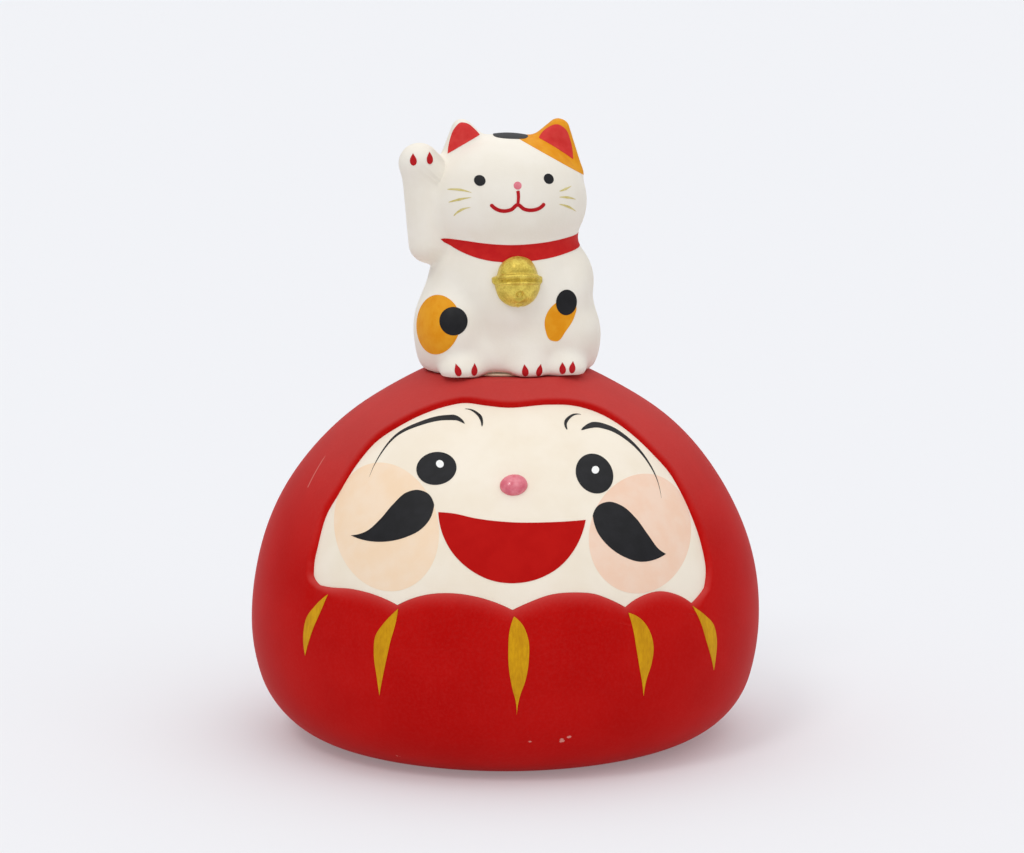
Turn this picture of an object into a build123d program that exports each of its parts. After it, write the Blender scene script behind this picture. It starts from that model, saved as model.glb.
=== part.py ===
"""Painted earthenware daruma doll with a beckoning cat sitting on its head.

Both figures are hollow slip-cast shells. The doll stands on its own flat foot, and the cat is
a loose figure that rests on a flat platform on the doll's crown. Each colour of paint is a thin
coat on the clay, so every coat is a film with its own outline and thickness.

Millimetres, +Z up. The doll faces -Y, and +X is on the right for someone who faces it; names that
end in _left and _right are meant as that person sees them. The origin is the centre of the foot.
"""

import os
from math import cos, radians, sin, sqrt

from build123d import *

# ---- doll: outside form, a turned profile of four tangent arcs ----
BODY_R = 60.0            # radius at the widest level
WIDE_Z = 28.0            # height of the widest level
SHOULDER_ARC = 60.4      # radius of the arc above the widest level
SHOULDER_TURN = 56.1     # degrees that this arc goes up
CROWN_ARC = 107.7        # radius of the flatter arc that leads to the crown
HIP_ARC = 46.9           # radius of the arc below the widest level
HIP_TURN = 16.6          # degrees that this arc goes down
PLATFORM_R = 19.0        # flat on the crown that the cat stands on

# ---- doll: clay, hood opening and vent ----
WALL = 4.0               # cast wall of the doll
HOOD_STEP = 1.5          # how far the face lies behind the hood and the robe
VENT_R = 6.0             # hole in the foot that lets steam out in the kiln
PAINT = 0.25             # thickness of one coat of paint

# ---- doll: face field, which all painted features are placed in ----
FACE_HALF_ANGLE = 47.2   # degrees from the front to each side of the face
FACE_FOOT_Z = 40.7       # level of the notches between the robe's scallops
BROW_BAND = 4.5          # red hood left between the face's top and the platform

# sizes of the face's marks, as shares of the face's half width
EYE_LONG = 0.102
EYE_SHORT = 0.086
GLINT = 0.017
NOSE_W = 0.073           # half width of the bead
NOSE_H = 0.059           # half height of the bead
NOSE_OUT = 0.055         # how far the bead stands out
CHEEK_W = 0.282
CHEEK_H = 0.323
BROW_BRUSH = 0.0205      # widest mark of the brush in a brow
BROW_BOW = 0.18          # how far a long brow arches, as a share of its length
PLEAT_W = 3.4            # widest part of a gilt pleat
PLEAT_LONG = 21.0        # length of the long pleats
PLEAT_SHORT = 15.5       # length of the pleats at the sides
PLEAT_LEAN = 0.12        # how far a pleat's foot leans outwards, as a share of its x

# ---- cat: figure as a union of egg shapes, in its own frame on the platform ----
CAT_TURN = 6.5           # degrees that the cat faces further right than the doll
CAT_WALL = 3.0
CAT_LIFT_GAP = 0.05      # air under the cat's foot ring
HEAD_C = (0.5, 0.5, 39.3)
HEAD_R = (18.5, 16.0, 16.0)
CHEST_C = (0.0, 0.5, 18.0)
CHEST_R = (20.3, 16.4, 20.0)
HAUNCH_C = (0.2, 0.8, 9.0)
HAUNCH_R = (21.6, 17.6, 14.0)
ARM_X = -19.4
ARM_Y = -2.5
ARM_R = 4.7
ELBOW_Z = 29.6
PAW_Z = 49.0
PAW_R = 5.1
PAW_C = (ARM_X - 0.4, ARM_Y - 0.6, PAW_Z)
FOOT_XS = (-11.8, 3.2, 11.8)
FOOT_Y = -14.2
FOOT_Z = 2.0
FOOT_R = (5.4, 5.0, 5.0)
EAR_THICK = 6.0
EAR_Y = -1.5             # front face of the ears
EAR_TIP_R = 2.6
EAR_RED_TIP_R = 1.2      # tip of the red lining
BELL_R = 5.6
BELL_Z = 22.8
BELL_BAND = 0.7          # how far the bell's band stands out
BAND_H = 1.6             # height of that band
SEAL_R = 13.0            # clay disc that closes the cat's open foot
SEAL_THICK = 3.0
CAT_VENT_R = 2.5

# ---- cat: paint ----
CAT_EYE_R = (1.3, 1.2)
CAT_NOSE_R = 0.9
LIP_W = 0.56             # width of the brush line of the mouth
WHISKER_W = 0.5
WHISKER_BOW = 0.3
CROWN_SPOT_R = (3.6, 5.6)
COLLAR_Z = 30.2          # middle of the band behind the neck
COLLAR_H = 2.6
SPOT_LEFT_R = 3.1
SPOT_RIGHT_R = (2.4, 2.9)
CLAW_W = 1.3
CLAW_H = 2.6
CLAW_SPREAD = 1.75       # from the middle of a paw to each of its two claws

FRONT = 4 * BODY_R       # longer than anything that it cuts
STANDING = (Align.CENTER, Align.CENTER, Align.MIN)


# ---------------------------------------------------------------- helpers
def shoulder_end():
    """Point where the shoulder arc hands over to the crown arc."""
    turn = radians(SHOULDER_TURN)
    return BODY_R - SHOULDER_ARC * (1 - cos(turn)), WIDE_Z + SHOULDER_ARC * sin(turn)


def crown_centre():
    x, z = shoulder_end()
    turn = radians(SHOULDER_TURN)
    return x - CROWN_ARC * cos(turn), z - CROWN_ARC * sin(turn)


def crown_level(r):
    """Height of the crown arc at radius r."""
    cx, cz = crown_centre()
    return cz + sqrt(CROWN_ARC**2 - (r - cx) ** 2)


PLATFORM_Z = crown_level(PLATFORM_R)
FACE_TOP_Z = PLATFORM_Z - BROW_BAND
FACE_HALF_W = BODY_R * sin(radians(FACE_HALF_ANGLE))
FACE_H = FACE_TOP_Z - FACE_FOOT_Z


def of_face(share):
    """A size on the face, from its share of the face's half width."""
    return share * FACE_HALF_W


def dome(depth):
    """The doll's outside form, offset inwards by depth all over."""
    up, down = radians(SHOULDER_TURN), radians(HIP_TURN)
    shoulder_x = BODY_R - SHOULDER_ARC
    hip_x = BODY_R - HIP_ARC
    hip_end_z = WIDE_Z - HIP_ARC * sin(down)
    heel = hip_end_z / (1 - sin(down))
    heel_x = hip_x + (HIP_ARC - heel) * cos(down)
    cx, cz = crown_centre()

    def on_arc(x, z, radius, angle):
        return x + (radius - depth) * cos(angle), z + (radius - depth) * sin(angle)

    wide = (BODY_R - depth, WIDE_Z)
    shoulder = on_arc(shoulder_x, WIDE_Z, SHOULDER_ARC, up)
    hip = on_arc(hip_x, WIDE_Z, HIP_ARC, -down)
    top_z = PLATFORM_Z - depth
    top_r = cx + sqrt((CROWN_ARC - depth) ** 2 - (top_z - cz) ** 2)
    mid_z = (shoulder[1] + top_z) / 2
    mid_r = cx + sqrt((CROWN_ARC - depth) ** 2 - (mid_z - cz) ** 2)
    heel_turn = (radians(90) + down) / 2
    profile = [
        Line((0, depth), (heel_x, depth)),
        ThreePointArc((heel_x, depth), on_arc(heel_x, heel, heel, -heel_turn), hip),
        ThreePointArc(hip, on_arc(hip_x, WIDE_Z, HIP_ARC, -down / 2), wide),
        ThreePointArc(wide, on_arc(shoulder_x, WIDE_Z, SHOULDER_ARC, up / 2), shoulder),
        ThreePointArc(shoulder, (mid_r, mid_z), (top_r, top_z)),
        Line((top_r, top_z), (0, top_z)),
        Line((0, top_z), (0, depth)),
    ]
    return revolve(Plane.XZ * make_face(profile), Axis.Z)


def at(across, up):
    """A point of the face field: across is -1 to 1 from side to side, up is 0 to 1."""
    return across * FACE_HALF_W, FACE_FOOT_Z + up * FACE_H


def leaf(start, bulge_a, end, bulge_b):
    """A brush mark with two pointed ends, between two arcs."""
    return make_face([ThreePointArc(start, bulge_a, end), ThreePointArc(end, bulge_b, start)])


def stroke(start, end, width, bow=0.0):
    """A leaf from start to end, as wide as width, whose middle is pushed aside by bow."""
    a, b = Vector(*start), Vector(*end)
    side = (b - a).normalized().rotate(Axis.Z, 90)
    middle = (a + b) / 2
    return leaf(a, middle + side * (bow + width / 2), b, middle + side * (bow - width / 2))


def drop(tip, upper, round_end, lower):
    """A leaf with one pointed tip and one round end."""
    return make_face(Spline(tip, *upper, round_end, *lower, tip))


def oval(centre, rx, ry, tilt=0.0):
    return Pos(*centre) * Rot(0, 0, tilt) * Ellipse(rx, ry)


def prism(outline, back=0.0):
    """The outline, drawn as x and z, pushed out of the front from y = back."""
    return extrude(Plane.XZ.offset(-back) * outline, FRONT)


def coat(outline, floor, thick=PAINT):
    """Paint on the doll inside the outline, on the form at depth floor."""
    return (dome(floor - thick) - dome(floor)) & prism(outline)


def egg(centre, radii, grow=0.0):
    size = tuple(r + grow for r in radii)
    return Pos(*centre) * scale(Sphere(1), by=size)


def joined(pieces):
    total = pieces[0]
    for piece in pieces[1:]:
        total = total + piece
    return total


def above_foot(shape, level=0.0):
    return shape & Pos(0, 0, level) * Box(FRONT, FRONT, FRONT, align=STANDING)


# ---------------------------------------------------------------- doll: outlines
def face_outline():
    """Cloud-shaped top with a dip in its middle, and a foot cut by the robe's scallops."""
    top = Spline(
        at(-0.99, 0.05), at(-0.98, 0.26), at(-0.79, 0.66), at(-0.57, 0.86), at(-0.23, 0.99),
        at(0.00, 0.975), at(0.21, 0.98), at(0.45, 0.93), at(0.66, 0.79), at(0.85, 0.56),
        at(0.96, 0.28), at(0.99, 0.01),
    )
    foot = [
        ThreePointArc(at(0.99, 0.01), at(0.97, -0.03), at(0.92, -0.05)),
        ThreePointArc(at(0.92, -0.05), at(0.76, 0.04), at(0.56, -0.02)),
        ThreePointArc(at(0.56, -0.02), at(0.30, 0.08), at(-0.01, 0.00)),
        ThreePointArc(at(-0.01, 0.00), at(-0.30, 0.08), at(-0.58, 0.00)),
        ThreePointArc(at(-0.58, 0.00), at(-0.78, 0.06), at(-0.99, 0.05)),
    ]
    return make_face([top] + foot)


def mouth_outline():
    top = ThreePointArc(at(-0.37, 0.48), at(0.01, 0.44), at(0.37, 0.44))
    jaw = ThreePointArc(at(0.37, 0.44), at(0.00, 0.14), at(-0.37, 0.48))
    return make_face([top, jaw])


EYES = {"left": (at(-0.38, 0.70), 12.0), "right": (at(0.42, 0.66), -12.0)}
GLINTS = {"left": at(-0.36, 0.72), "right": at(0.43, 0.68)}
CHEEKS = {"left": at(-0.63, 0.38), "right": at(0.65, 0.34)}
LONG_BROWS = {"left": (at(-0.72, 0.62), at(-0.23, 0.91)), "right": (at(0.37, 0.87), at(0.76, 0.50))}
SHORT_BROWS = {"left": (at(-0.23, 0.96), at(-0.14, 0.89)), "right": (at(0.29, 0.87), at(0.37, 0.93))}
WHISKERS = {
    "left": drop(at(-0.81, 0.32), [at(-0.67, 0.42), at(-0.53, 0.57)], at(-0.39, 0.51),
                 [at(-0.46, 0.39), at(-0.64, 0.32)]),
    "right": drop(at(0.78, 0.22), [at(0.69, 0.33), at(0.55, 0.50)], at(0.41, 0.46),
                  [at(0.48, 0.31), at(0.65, 0.21)]),
}
PLEATS = [(-0.94, 0.00, PLEAT_SHORT), (-0.60, -0.01, PLEAT_LONG), (0.01, -0.02, PLEAT_LONG),
          (0.62, -0.03, PLEAT_LONG), (0.96, -0.09, PLEAT_SHORT)]


# ---------------------------------------------------------------- doll: pieces
def build_doll():
    """The doll's shell and the paint on it, as a dictionary of solids."""
    face = face_outline()
    recess = prism(face) - dome(HOOD_STEP)
    vent = Cylinder(VENT_R, 4 * WALL)
    parts = {"daruma_shell": dome(0) - dome(WALL) - recess - vent}

    nose_at = at(0.01, 0.63)
    nose_front = -sqrt((dome_radius(nose_at[1]) - HOOD_STEP) ** 2 - nose_at[0] ** 2)
    nose_size = (of_face(NOSE_W), of_face(NOSE_OUT), of_face(NOSE_H))
    bead = egg((nose_at[0], nose_front, nose_at[1]), nose_size)
    parts["nose_bead"] = bead - dome(HOOD_STEP)

    mouth = mouth_outline()
    nose_mark = oval(nose_at, of_face(NOSE_W), of_face(NOSE_H))
    brush = of_face(BROW_BRUSH)
    top_marks = [mouth, nose_mark]
    for side in ("left", "right"):
        eye_at, tilt = EYES[side]
        eye = oval(eye_at, of_face(EYE_LONG), of_face(EYE_SHORT), tilt)
        glint = oval(GLINTS[side], of_face(GLINT), of_face(GLINT))
        start, end = LONG_BROWS[side]
        brow_length = (Vector(*end) - Vector(*start)).length
        long_brow = stroke(start, end, brush, bow=BROW_BOW * brow_length)
        short_start, short_end = SHORT_BROWS[side]
        short_brow = stroke(short_start, short_end, brush, bow=brush)
        marks = {
            "eye": eye - glint,
            "eye_glint": glint,
            "brow_long": long_brow,
            "brow_short": short_brow,
            "whisker": WHISKERS[side],
        }
        for name, outline in marks.items():
            parts[f"{name}_{side}"] = coat(outline, HOOD_STEP)
        top_marks += [eye, long_brow, short_brow, WHISKERS[side]]
    parts["mouth"] = coat(mouth, HOOD_STEP)

    cheeks = {}
    for side, centre in CHEEKS.items():
        cheeks[side] = oval(centre, of_face(CHEEK_W), of_face(CHEEK_H)) & face
        for mark in top_marks:
            cheeks[side] = cheeks[side] - mark
        parts[f"cheek_{side}"] = coat(cheeks[side], HOOD_STEP)

    ground = face
    for mark in top_marks + list(cheeks.values()):
        ground = ground - mark
    parts["face_ground"] = coat(ground, HOOD_STEP)

    for number, (across, up, length) in enumerate(PLEATS, 1):
        x, z = at(across, up)
        lean = PLEAT_LEAN * x
        pleat = stroke((x, z), (x + lean, z - length), PLEAT_W)
        parts[f"robe_pleat_{number}"] = coat(pleat, 0.0)
    return parts


def dome_radius(z):
    """Radius of the outside form at a height between the widest level and the shoulder's end."""
    return BODY_R - SHOULDER_ARC + sqrt(SHOULDER_ARC**2 - (z - WIDE_Z) ** 2)


# ---------------------------------------------------------------- cat: pieces
def cat_core(grow=0.0):
    """Head, chest and haunches, without limbs or ears."""
    eggs = [egg(HEAD_C, HEAD_R, grow), egg(CHEST_C, CHEST_R, grow), egg(HAUNCH_C, HAUNCH_R, grow)]
    return joined(eggs)


def ear_outline(side):
    """A rounded triangle that reaches down into the head; side is -1 or 1."""
    x = HEAD_C[0]
    tip = (x + side * 11.4, 60.4)
    outer = (x + side * 16.6, 48.0)
    inner = (x + side * 3.4, 53.0)
    low = (x + side * 9.0, 44.0)
    ear_form = Polygon(tip, outer, low, inner, align=None)
    return fillet(ear_form.vertices().sort_by(Axis.Y)[-1], EAR_TIP_R)


def ear_red_outline(side):
    x = HEAD_C[0]
    tip = (x + side * 11.4, 58.4)
    outer = (x + side * 14.7, 50.6)
    inner = (x + side * 6.8, 54.2)
    triangle = Polygon(tip, outer, inner, align=None)
    return fillet(triangle.vertices().sort_by(Axis.Y)[-1], EAR_RED_TIP_R)


def ear(side):
    return extrude(Plane.XZ.offset(-EAR_Y) * ear_outline(side), -EAR_THICK)


def cat_form():
    """The whole outside of the clay cat, above its foot plane."""
    arm = Pos(ARM_X, ARM_Y, ELBOW_Z) * Cylinder(ARM_R, PAW_Z - ELBOW_Z, align=STANDING)
    elbow = Pos(ARM_X, ARM_Y, ELBOW_Z) * Sphere(ARM_R)
    paw = Pos(*PAW_C) * Sphere(PAW_R)
    feet = [egg((x, FOOT_Y, FOOT_Z), FOOT_R) for x in FOOT_XS]
    return above_foot(joined([cat_core(), arm, elbow, paw, ear(-1), ear(1)] + feet))


def build_cat():
    """The cat's shell, seal, bell and paint, in the cat's own frame, as a dictionary."""
    form = cat_form()
    core = cat_core()
    head = egg(HEAD_C, HEAD_R)
    thick_core = cat_core(PAINT)
    thick_head = egg(HEAD_C, HEAD_R, PAINT)
    hollow = above_foot(cat_core(-CAT_WALL), SEAL_THICK)
    seal = Cylinder(SEAL_R, SEAL_THICK, align=STANDING)
    vent = Cylinder(CAT_VENT_R, 3 * SEAL_THICK)
    parts = {
        "cat_shell": form - hollow - seal,
        "cat_foot_seal": seal - vent,
    }

    def on_head(outline):
        return (prism(outline) & thick_head) - head

    def on_body(outline):
        return (prism(outline) & thick_core) - form

    # bell: a ball set into the chest, with a raised band round it
    bell_y = CHEST_C[1] - CHEST_R[1] * sqrt(1 - ((BELL_Z - CHEST_C[2]) / CHEST_R[2]) ** 2)
    ball = Pos(0, bell_y, BELL_Z) * Sphere(BELL_R)
    band = Pos(0, bell_y, BELL_Z) * Cylinder(BELL_R + BELL_BAND, BAND_H)
    bell = ball + band

    # head
    for side, centre in (("left", (-7.9, 45.3)), ("right", (7.7, 45.3))):
        parts[f"cat_eye_{side}"] = on_head(oval(centre, *CAT_EYE_R))
    parts["cat_nose"] = on_head(oval((0.5, 44.1), CAT_NOSE_R, CAT_NOSE_R))
    lip = [Line((0.5, 42.7), (0.4, 39.9)),
           ThreePointArc((0.4, 39.9), (-2.8, 38.3), (-5.3, 39.9)),
           ThreePointArc((0.4, 39.9), (3.9, 38.6), (6.4, 40.0))]
    lines = joined([trace(line, LIP_W) for line in lip])
    parts["cat_mouth"] = on_head(lines)
    whisker_ends = {
        "left": [
            ((-14.2, 43.3), (-9.8, 42.8)),
            ((-13.9, 40.6), (-9.8, 41.2)),
            ((-13.0, 37.6), (-10.0, 39.0)),
        ],
        "right": [
            ((10.6, 43.3), (13.6, 43.9)),
            ((10.2, 41.3), (14.2, 41.3)),
            ((10.5, 39.5), (14.0, 38.4)),
        ],
    }
    for side, ends in whisker_ends.items():
        marks = [on_head(stroke(a, b, WHISKER_W, bow=WHISKER_BOW)) for a, b in ends]
        parts[f"cat_whiskers_{side}"] = joined(marks)

    # ears and crown
    for side, sign in (("left", -1), ("right", 1)):
        red = extrude(Plane.XZ.offset(-EAR_Y) * ear_red_outline(sign), PAINT)
        parts[f"ear_red_{side}"] = red - thick_head
    patch_corners = [(3.0, 56.5), (3.6, 54.6), (17.6, 46.2), (22.0, 46.0), (22.0, 60.0)]
    patch_outline = Polygon(*patch_corners, align=None)
    orange = (prism(patch_outline) & thick_head) - form
    ear_front = extrude(Plane.XZ.offset(-EAR_Y) * (ear_outline(1) - ear_red_outline(1)), PAINT)
    crown_mark = extrude(oval((0.4, -1.0), *CROWN_SPOT_R), FRONT)
    parts["crown_patch"] = (crown_mark & thick_head) - form
    parts["ear_patch"] = orange + (ear_front - thick_head) - crown_mark

    # collar: a crescent in front that thins out at the raised arm, and an even band behind
    crescent = leaf((-14.8, 32.2), (0.6, 30.5), (17.9, 31.6), (0.6, 26.6))
    band_behind = Pos(0, FRONT / 2, COLLAR_Z) * Box(FRONT, FRONT, COLLAR_H)
    collar = (prism(crescent) + band_behind) & thick_core
    parts["cat_collar"] = collar - form - bell
    parts["cat_bell"] = bell - form

    # haunches
    spot_left = oval((-14.1, 12.6), SPOT_LEFT_R, SPOT_LEFT_R)
    spot_right = oval((11.9, 17.3), *SPOT_RIGHT_R)
    patch_left = oval((-16.6, 11.8), 4.6, 6.8) - spot_left
    patch_right = oval((10.4, 12.8), 3.2, 4.6, -15) - spot_right
    parts["haunch_patch_left"] = on_body(patch_left)
    parts["haunch_patch_right"] = on_body(patch_right)
    parts["haunch_spot_left"] = on_body(spot_left)
    parts["haunch_spot_right"] = on_body(spot_right)

    # claws: a pair of drops on each paw
    def claws(centre, radii, up):
        """A pair of drops on a paw, up above the paw's middle."""
        x, y, z = centre
        top, foot = z + up + CLAW_H / 2, z + up - CLAW_H / 2
        drops = []
        for aside in (x - CLAW_SPREAD, x + CLAW_SPREAD):
            mark = prism(stroke((aside, top), (aside, foot), CLAW_W), y)
            drops.append((mark & egg(centre, radii, PAINT)) - form)
        return joined(drops)

    parts["claws_raised"] = claws(PAW_C, (PAW_R,) * 3, 1.2)
    for name, x in zip(("left", "middle", "right"), FOOT_XS):
        parts[f"claws_{name}"] = claws((x, FOOT_Y, FOOT_Z), FOOT_R, 0.9)
    return parts


# ---------------------------------------------------------------- export
def export_all():
    os.makedirs("parts", exist_ok=True)
    nodes = build_doll()
    seat = Pos(0, 0, PLATFORM_Z + CAT_LIFT_GAP) * Rot(0, 0, CAT_TURN)
    for name, piece in build_cat().items():
        nodes[name] = seat * piece
    for name, piece in nodes.items():
        export_step(piece, f"parts/{name}.step")


export_all()
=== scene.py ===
"""Looks of a painted earthenware daruma doll with a beckoning cat on its crown.

Every form here is a surface worked out in millimetres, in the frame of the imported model, and put
into its mesh in metres. The doll faces -Y and stands on z = 0. The cat has its own frame, which
stands on the doll's platform and is turned a little to the right.
"""
import logging
from dataclasses import dataclass, field
from enum import Enum
from math import cos, pi, radians, sin
from typing import Callable, Optional, Sequence

import bpy
import numpy as np
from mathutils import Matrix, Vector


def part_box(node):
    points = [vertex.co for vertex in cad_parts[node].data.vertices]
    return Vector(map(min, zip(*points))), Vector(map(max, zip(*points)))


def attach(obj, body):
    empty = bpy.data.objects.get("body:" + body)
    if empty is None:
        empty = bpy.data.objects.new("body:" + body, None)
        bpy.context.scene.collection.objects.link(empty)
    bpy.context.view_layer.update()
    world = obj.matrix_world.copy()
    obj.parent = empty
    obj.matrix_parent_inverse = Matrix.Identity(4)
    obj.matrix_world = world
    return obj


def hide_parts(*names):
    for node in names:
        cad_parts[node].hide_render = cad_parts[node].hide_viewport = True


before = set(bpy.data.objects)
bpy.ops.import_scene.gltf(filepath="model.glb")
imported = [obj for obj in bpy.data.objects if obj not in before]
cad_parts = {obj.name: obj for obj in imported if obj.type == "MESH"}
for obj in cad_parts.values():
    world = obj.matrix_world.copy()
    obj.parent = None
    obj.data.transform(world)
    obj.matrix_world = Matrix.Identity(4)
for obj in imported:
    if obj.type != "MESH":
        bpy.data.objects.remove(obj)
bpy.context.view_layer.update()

LOG = logging.getLogger("daruma")

MM = 0.001                       # metres in a millimetre
WELD_MM = 1e-4                   # corners nearer than this are one corner
CREASE = radians(42)             # edges sharper than this are drawn as edges
PLATFORM_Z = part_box("daruma_shell")[1].z / MM
SEAT_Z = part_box("cat_foot_seal")[0].z / MM
BODY_R = 60.0                    # widest radius of the doll
CAT_TURN = radians(6.5)          # how far the cat faces to the right of the doll
VIEW_SIDE = -8.4                 # degrees to the cat's front from which its left side shows most
OUTSIDE = 42.0                   # nothing of the cat is this far from its middle

Array = np.ndarray
Place = Callable[[Array, float], Array]


# ------------------------------------------------------------------------------ mesh helpers
def weld(points: Array, quads: Array) -> tuple[Array, Array, Array]:
    """Makes corners at one place one corner, so that seams and poles are closed.

    Args:
        points: corners, one row of x, y, z in millimetres each.
        quads: four corner numbers in each row.

    Returns:
        The corners kept, the faces with four corners and the faces with three.
    """
    key = np.round(points / WELD_MM).astype(np.int64)
    _, first, where = np.unique(key, axis=0, return_index=True, return_inverse=True)
    faces = where.reshape(-1)[quads]
    same = faces == np.roll(faces, -1, axis=1)
    lost = same.sum(axis=1)
    whole = faces[lost == 0]
    triangles = faces[lost == 1][~same[lost == 1]].reshape(-1, 3)
    return points[first], whole, triangles


def grid_quads(rows: int, columns: int, wrap_rows: bool, wrap_columns: bool, start: int = 0) -> Array:
    """Corner numbers of the faces of a rows by columns grid, row after row.

    Args:
        rows: rows of the grid.
        columns: columns of the grid.
        wrap_rows: whether the last row joins the first.
        wrap_columns: whether the last column joins the first.
        start: the number of the grid's first corner.

    Returns:
        One row of four corner numbers for each face.
    """
    numbers = start + np.arange(rows * columns).reshape(rows, columns)
    if wrap_rows:
        numbers = np.vstack([numbers, numbers[:1]])
    if wrap_columns:
        numbers = np.hstack([numbers, numbers[:, :1]])
    corners = (numbers[:-1, :-1], numbers[1:, :-1], numbers[1:, 1:], numbers[:-1, 1:])
    return np.stack(corners, axis=-1).reshape(-1, 4)


def signed_volume(points: Array, quads: Array, triangles: Array) -> float:
    """Volume inside the faces: the sum of a . (b x c) / 6 over their triangles."""
    fan = np.vstack([quads[:, [0, 1, 2]], quads[:, [0, 2, 3]], triangles])
    a, b, c = (points[fan[:, i]] for i in range(3))
    return float(np.einsum("ij,ij->i", a, np.cross(b, c)).sum() / 6)


def make_piece(name: str, points: Array, quads: Array, finish: "Finish", body: str, node: str) -> None:
    """Puts a closed surface into a mesh that stands for a CAD node.

    Args:
        name: the piece's name.
        points: corners in millimetres.
        quads: faces as rows of four corner numbers.
        finish: its finish, which holds a material slot's name.
        body: the body it moves with.
        node: the CAD node it replaces.
    """
    corners, whole, triangles = weld(points.reshape(-1, 3), quads)
    if signed_volume(corners, whole, triangles) < 0:
        whole, triangles = whole[:, ::-1], triangles[:, ::-1]
    mesh = bpy.data.meshes.new(name)
    mesh.from_pydata((corners * MM).tolist(), [], whole.tolist() + triangles.tolist())
    mesh.polygons.foreach_set("use_smooth", np.ones(len(mesh.polygons), bool))
    mesh.set_sharp_from_angle(angle=CREASE)
    mesh.update()
    piece = bpy.data.objects.new(name, mesh)
    bpy.context.scene.collection.objects.link(piece)
    mesh.materials.append(material_of(finish))
    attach(piece, body)
    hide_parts(node)
    LOG.info("%s: %d corners, %d faces", name, len(corners), len(whole) + len(triangles))


def smooth(points: Sequence[tuple[float, float]], counts: Sequence[int],
           breaks: Sequence[int] = (), closed: bool = False) -> Array:
    """A smooth line through points, sampled evenly in each of its stretches.

    Each span is a cubic whose slopes at its two ends are those of the chords around them, in
    step with the length along the line.

    Args:
        points: the points it passes through.
        counts: how many samples each stretch gets; its end point belongs to the next one.
        breaks: numbers of the points where one stretch ends and the next starts.
        closed: whether the line comes back to its first point.

    Returns:
        The samples, and the last point as well unless the line is closed.
    """
    knots = np.array(points, float)
    if closed:
        knots = np.vstack([knots, knots[:1]])
    steps = np.linalg.norm(np.diff(knots, axis=0), axis=1)
    at = np.concatenate([[0.0], np.cumsum(steps)])
    slope = np.diff(knots, axis=0) / steps[:, None]
    inner = slope[:-1] * steps[1:, None] + slope[1:] * steps[:-1, None]
    inner /= (steps[:-1] + steps[1:])[:, None]
    if closed:
        seam = (slope[-1] * steps[0] + slope[0] * steps[-1]) / (steps[0] + steps[-1])
        tangents = np.vstack([seam, inner, seam])
    else:
        tangents = np.vstack([2 * slope[0] - inner[0], inner, 2 * slope[-1] - inner[-1]])
    spans = [np.linspace(a, b, 32, endpoint=False) for a, b in zip(at[:-1], at[1:])]
    fine = np.concatenate(spans + [at[-1:]])
    span = np.clip(np.searchsorted(at, fine, side="right") - 1, 0, len(steps) - 1)
    width = steps[span][:, None]
    u = ((fine - at[span])[:, None]) / width
    line = (
        (2 * u**3 - 3 * u**2 + 1) * knots[span] + (u**3 - 2 * u**2 + u) * width * tangents[span]
        + (3 * u**2 - 2 * u**3) * knots[span + 1] + (u**3 - u**2) * width * tangents[span + 1]
    )
    run = np.concatenate([[0.0], np.cumsum(np.linalg.norm(np.diff(line, axis=0), axis=1))])
    marks = [0.0] + [float(np.interp(at[i], fine, run)) for i in breaks] + [run[-1]]
    wanted = [np.linspace(a, b, n, endpoint=False) for a, b, n in zip(marks[:-1], marks[1:], counts)]
    if not closed:
        wanted.append(np.array([run[-1]]))
    wanted = np.concatenate(wanted)
    return np.stack([np.interp(wanted, run, line[:, i]) for i in range(2)], axis=1)


def between(edge_a: Array, edge_b: Array, across: int) -> Array:
    """A patch of points between two edges that share their ends, as rows from end to end."""
    w = np.linspace(0, 1, across)[None, :, None]
    return edge_a[:, None, :] * (1 - w) + edge_b[:, None, :] * w


def ribbon(line: Array, half_width: Array, across: int) -> Array:
    """A patch of points along a line, as wide as half_width says on each side of it."""
    along = np.gradient(line, axis=0)
    along /= np.linalg.norm(along, axis=1)[:, None]
    side = np.stack([-along[:, 1], along[:, 0]], axis=1) * half_width[:, None]
    return between(line + side, line - side, across)


def fan_patch(outline: Array, centre: tuple[float, float], rings: int) -> Array:
    """A patch of points from a closed outline in to its centre, as rows around it."""
    w = np.linspace(0, 1, rings)[None, :, None]
    return outline[:, None, :] * (1 - w) + np.array(centre)[None, None, :] * w


def oval_outline(centre: tuple[float, float], rx: float, ry: float, tilt: float, count: int) -> Array:
    """An ellipse about centre, turned by tilt degrees."""
    turn = np.linspace(0, 2 * pi, count, endpoint=False)
    x, y = rx * np.cos(turn), ry * np.sin(turn)
    c, s = cos(radians(tilt)), sin(radians(tilt))
    return np.stack([centre[0] + c * x - s * y, centre[1] + s * x + c * y], axis=1)


def oval_patch(centre: tuple[float, float], rx: float, ry: float, tilt: float, count: int,
               rings: int) -> Array:
    """A patch of points that fills an ellipse about centre, turned by tilt degrees."""
    return fan_patch(oval_outline(centre, rx, ry, tilt, count), centre, rings)


def brush_width(count: int, widest: float, at: float = 0.35, taper: float = 0.8) -> Array:
    """Half width along a brush mark: it swells to widest at a share of its length and tapers."""
    u = np.linspace(0, 1, count)
    rise = np.clip(u / at, 0, 1) ** 0.5
    fall = np.clip((1 - u) / (1 - at), 0, 1) ** taper
    return widest / 2 * rise * fall


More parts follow.
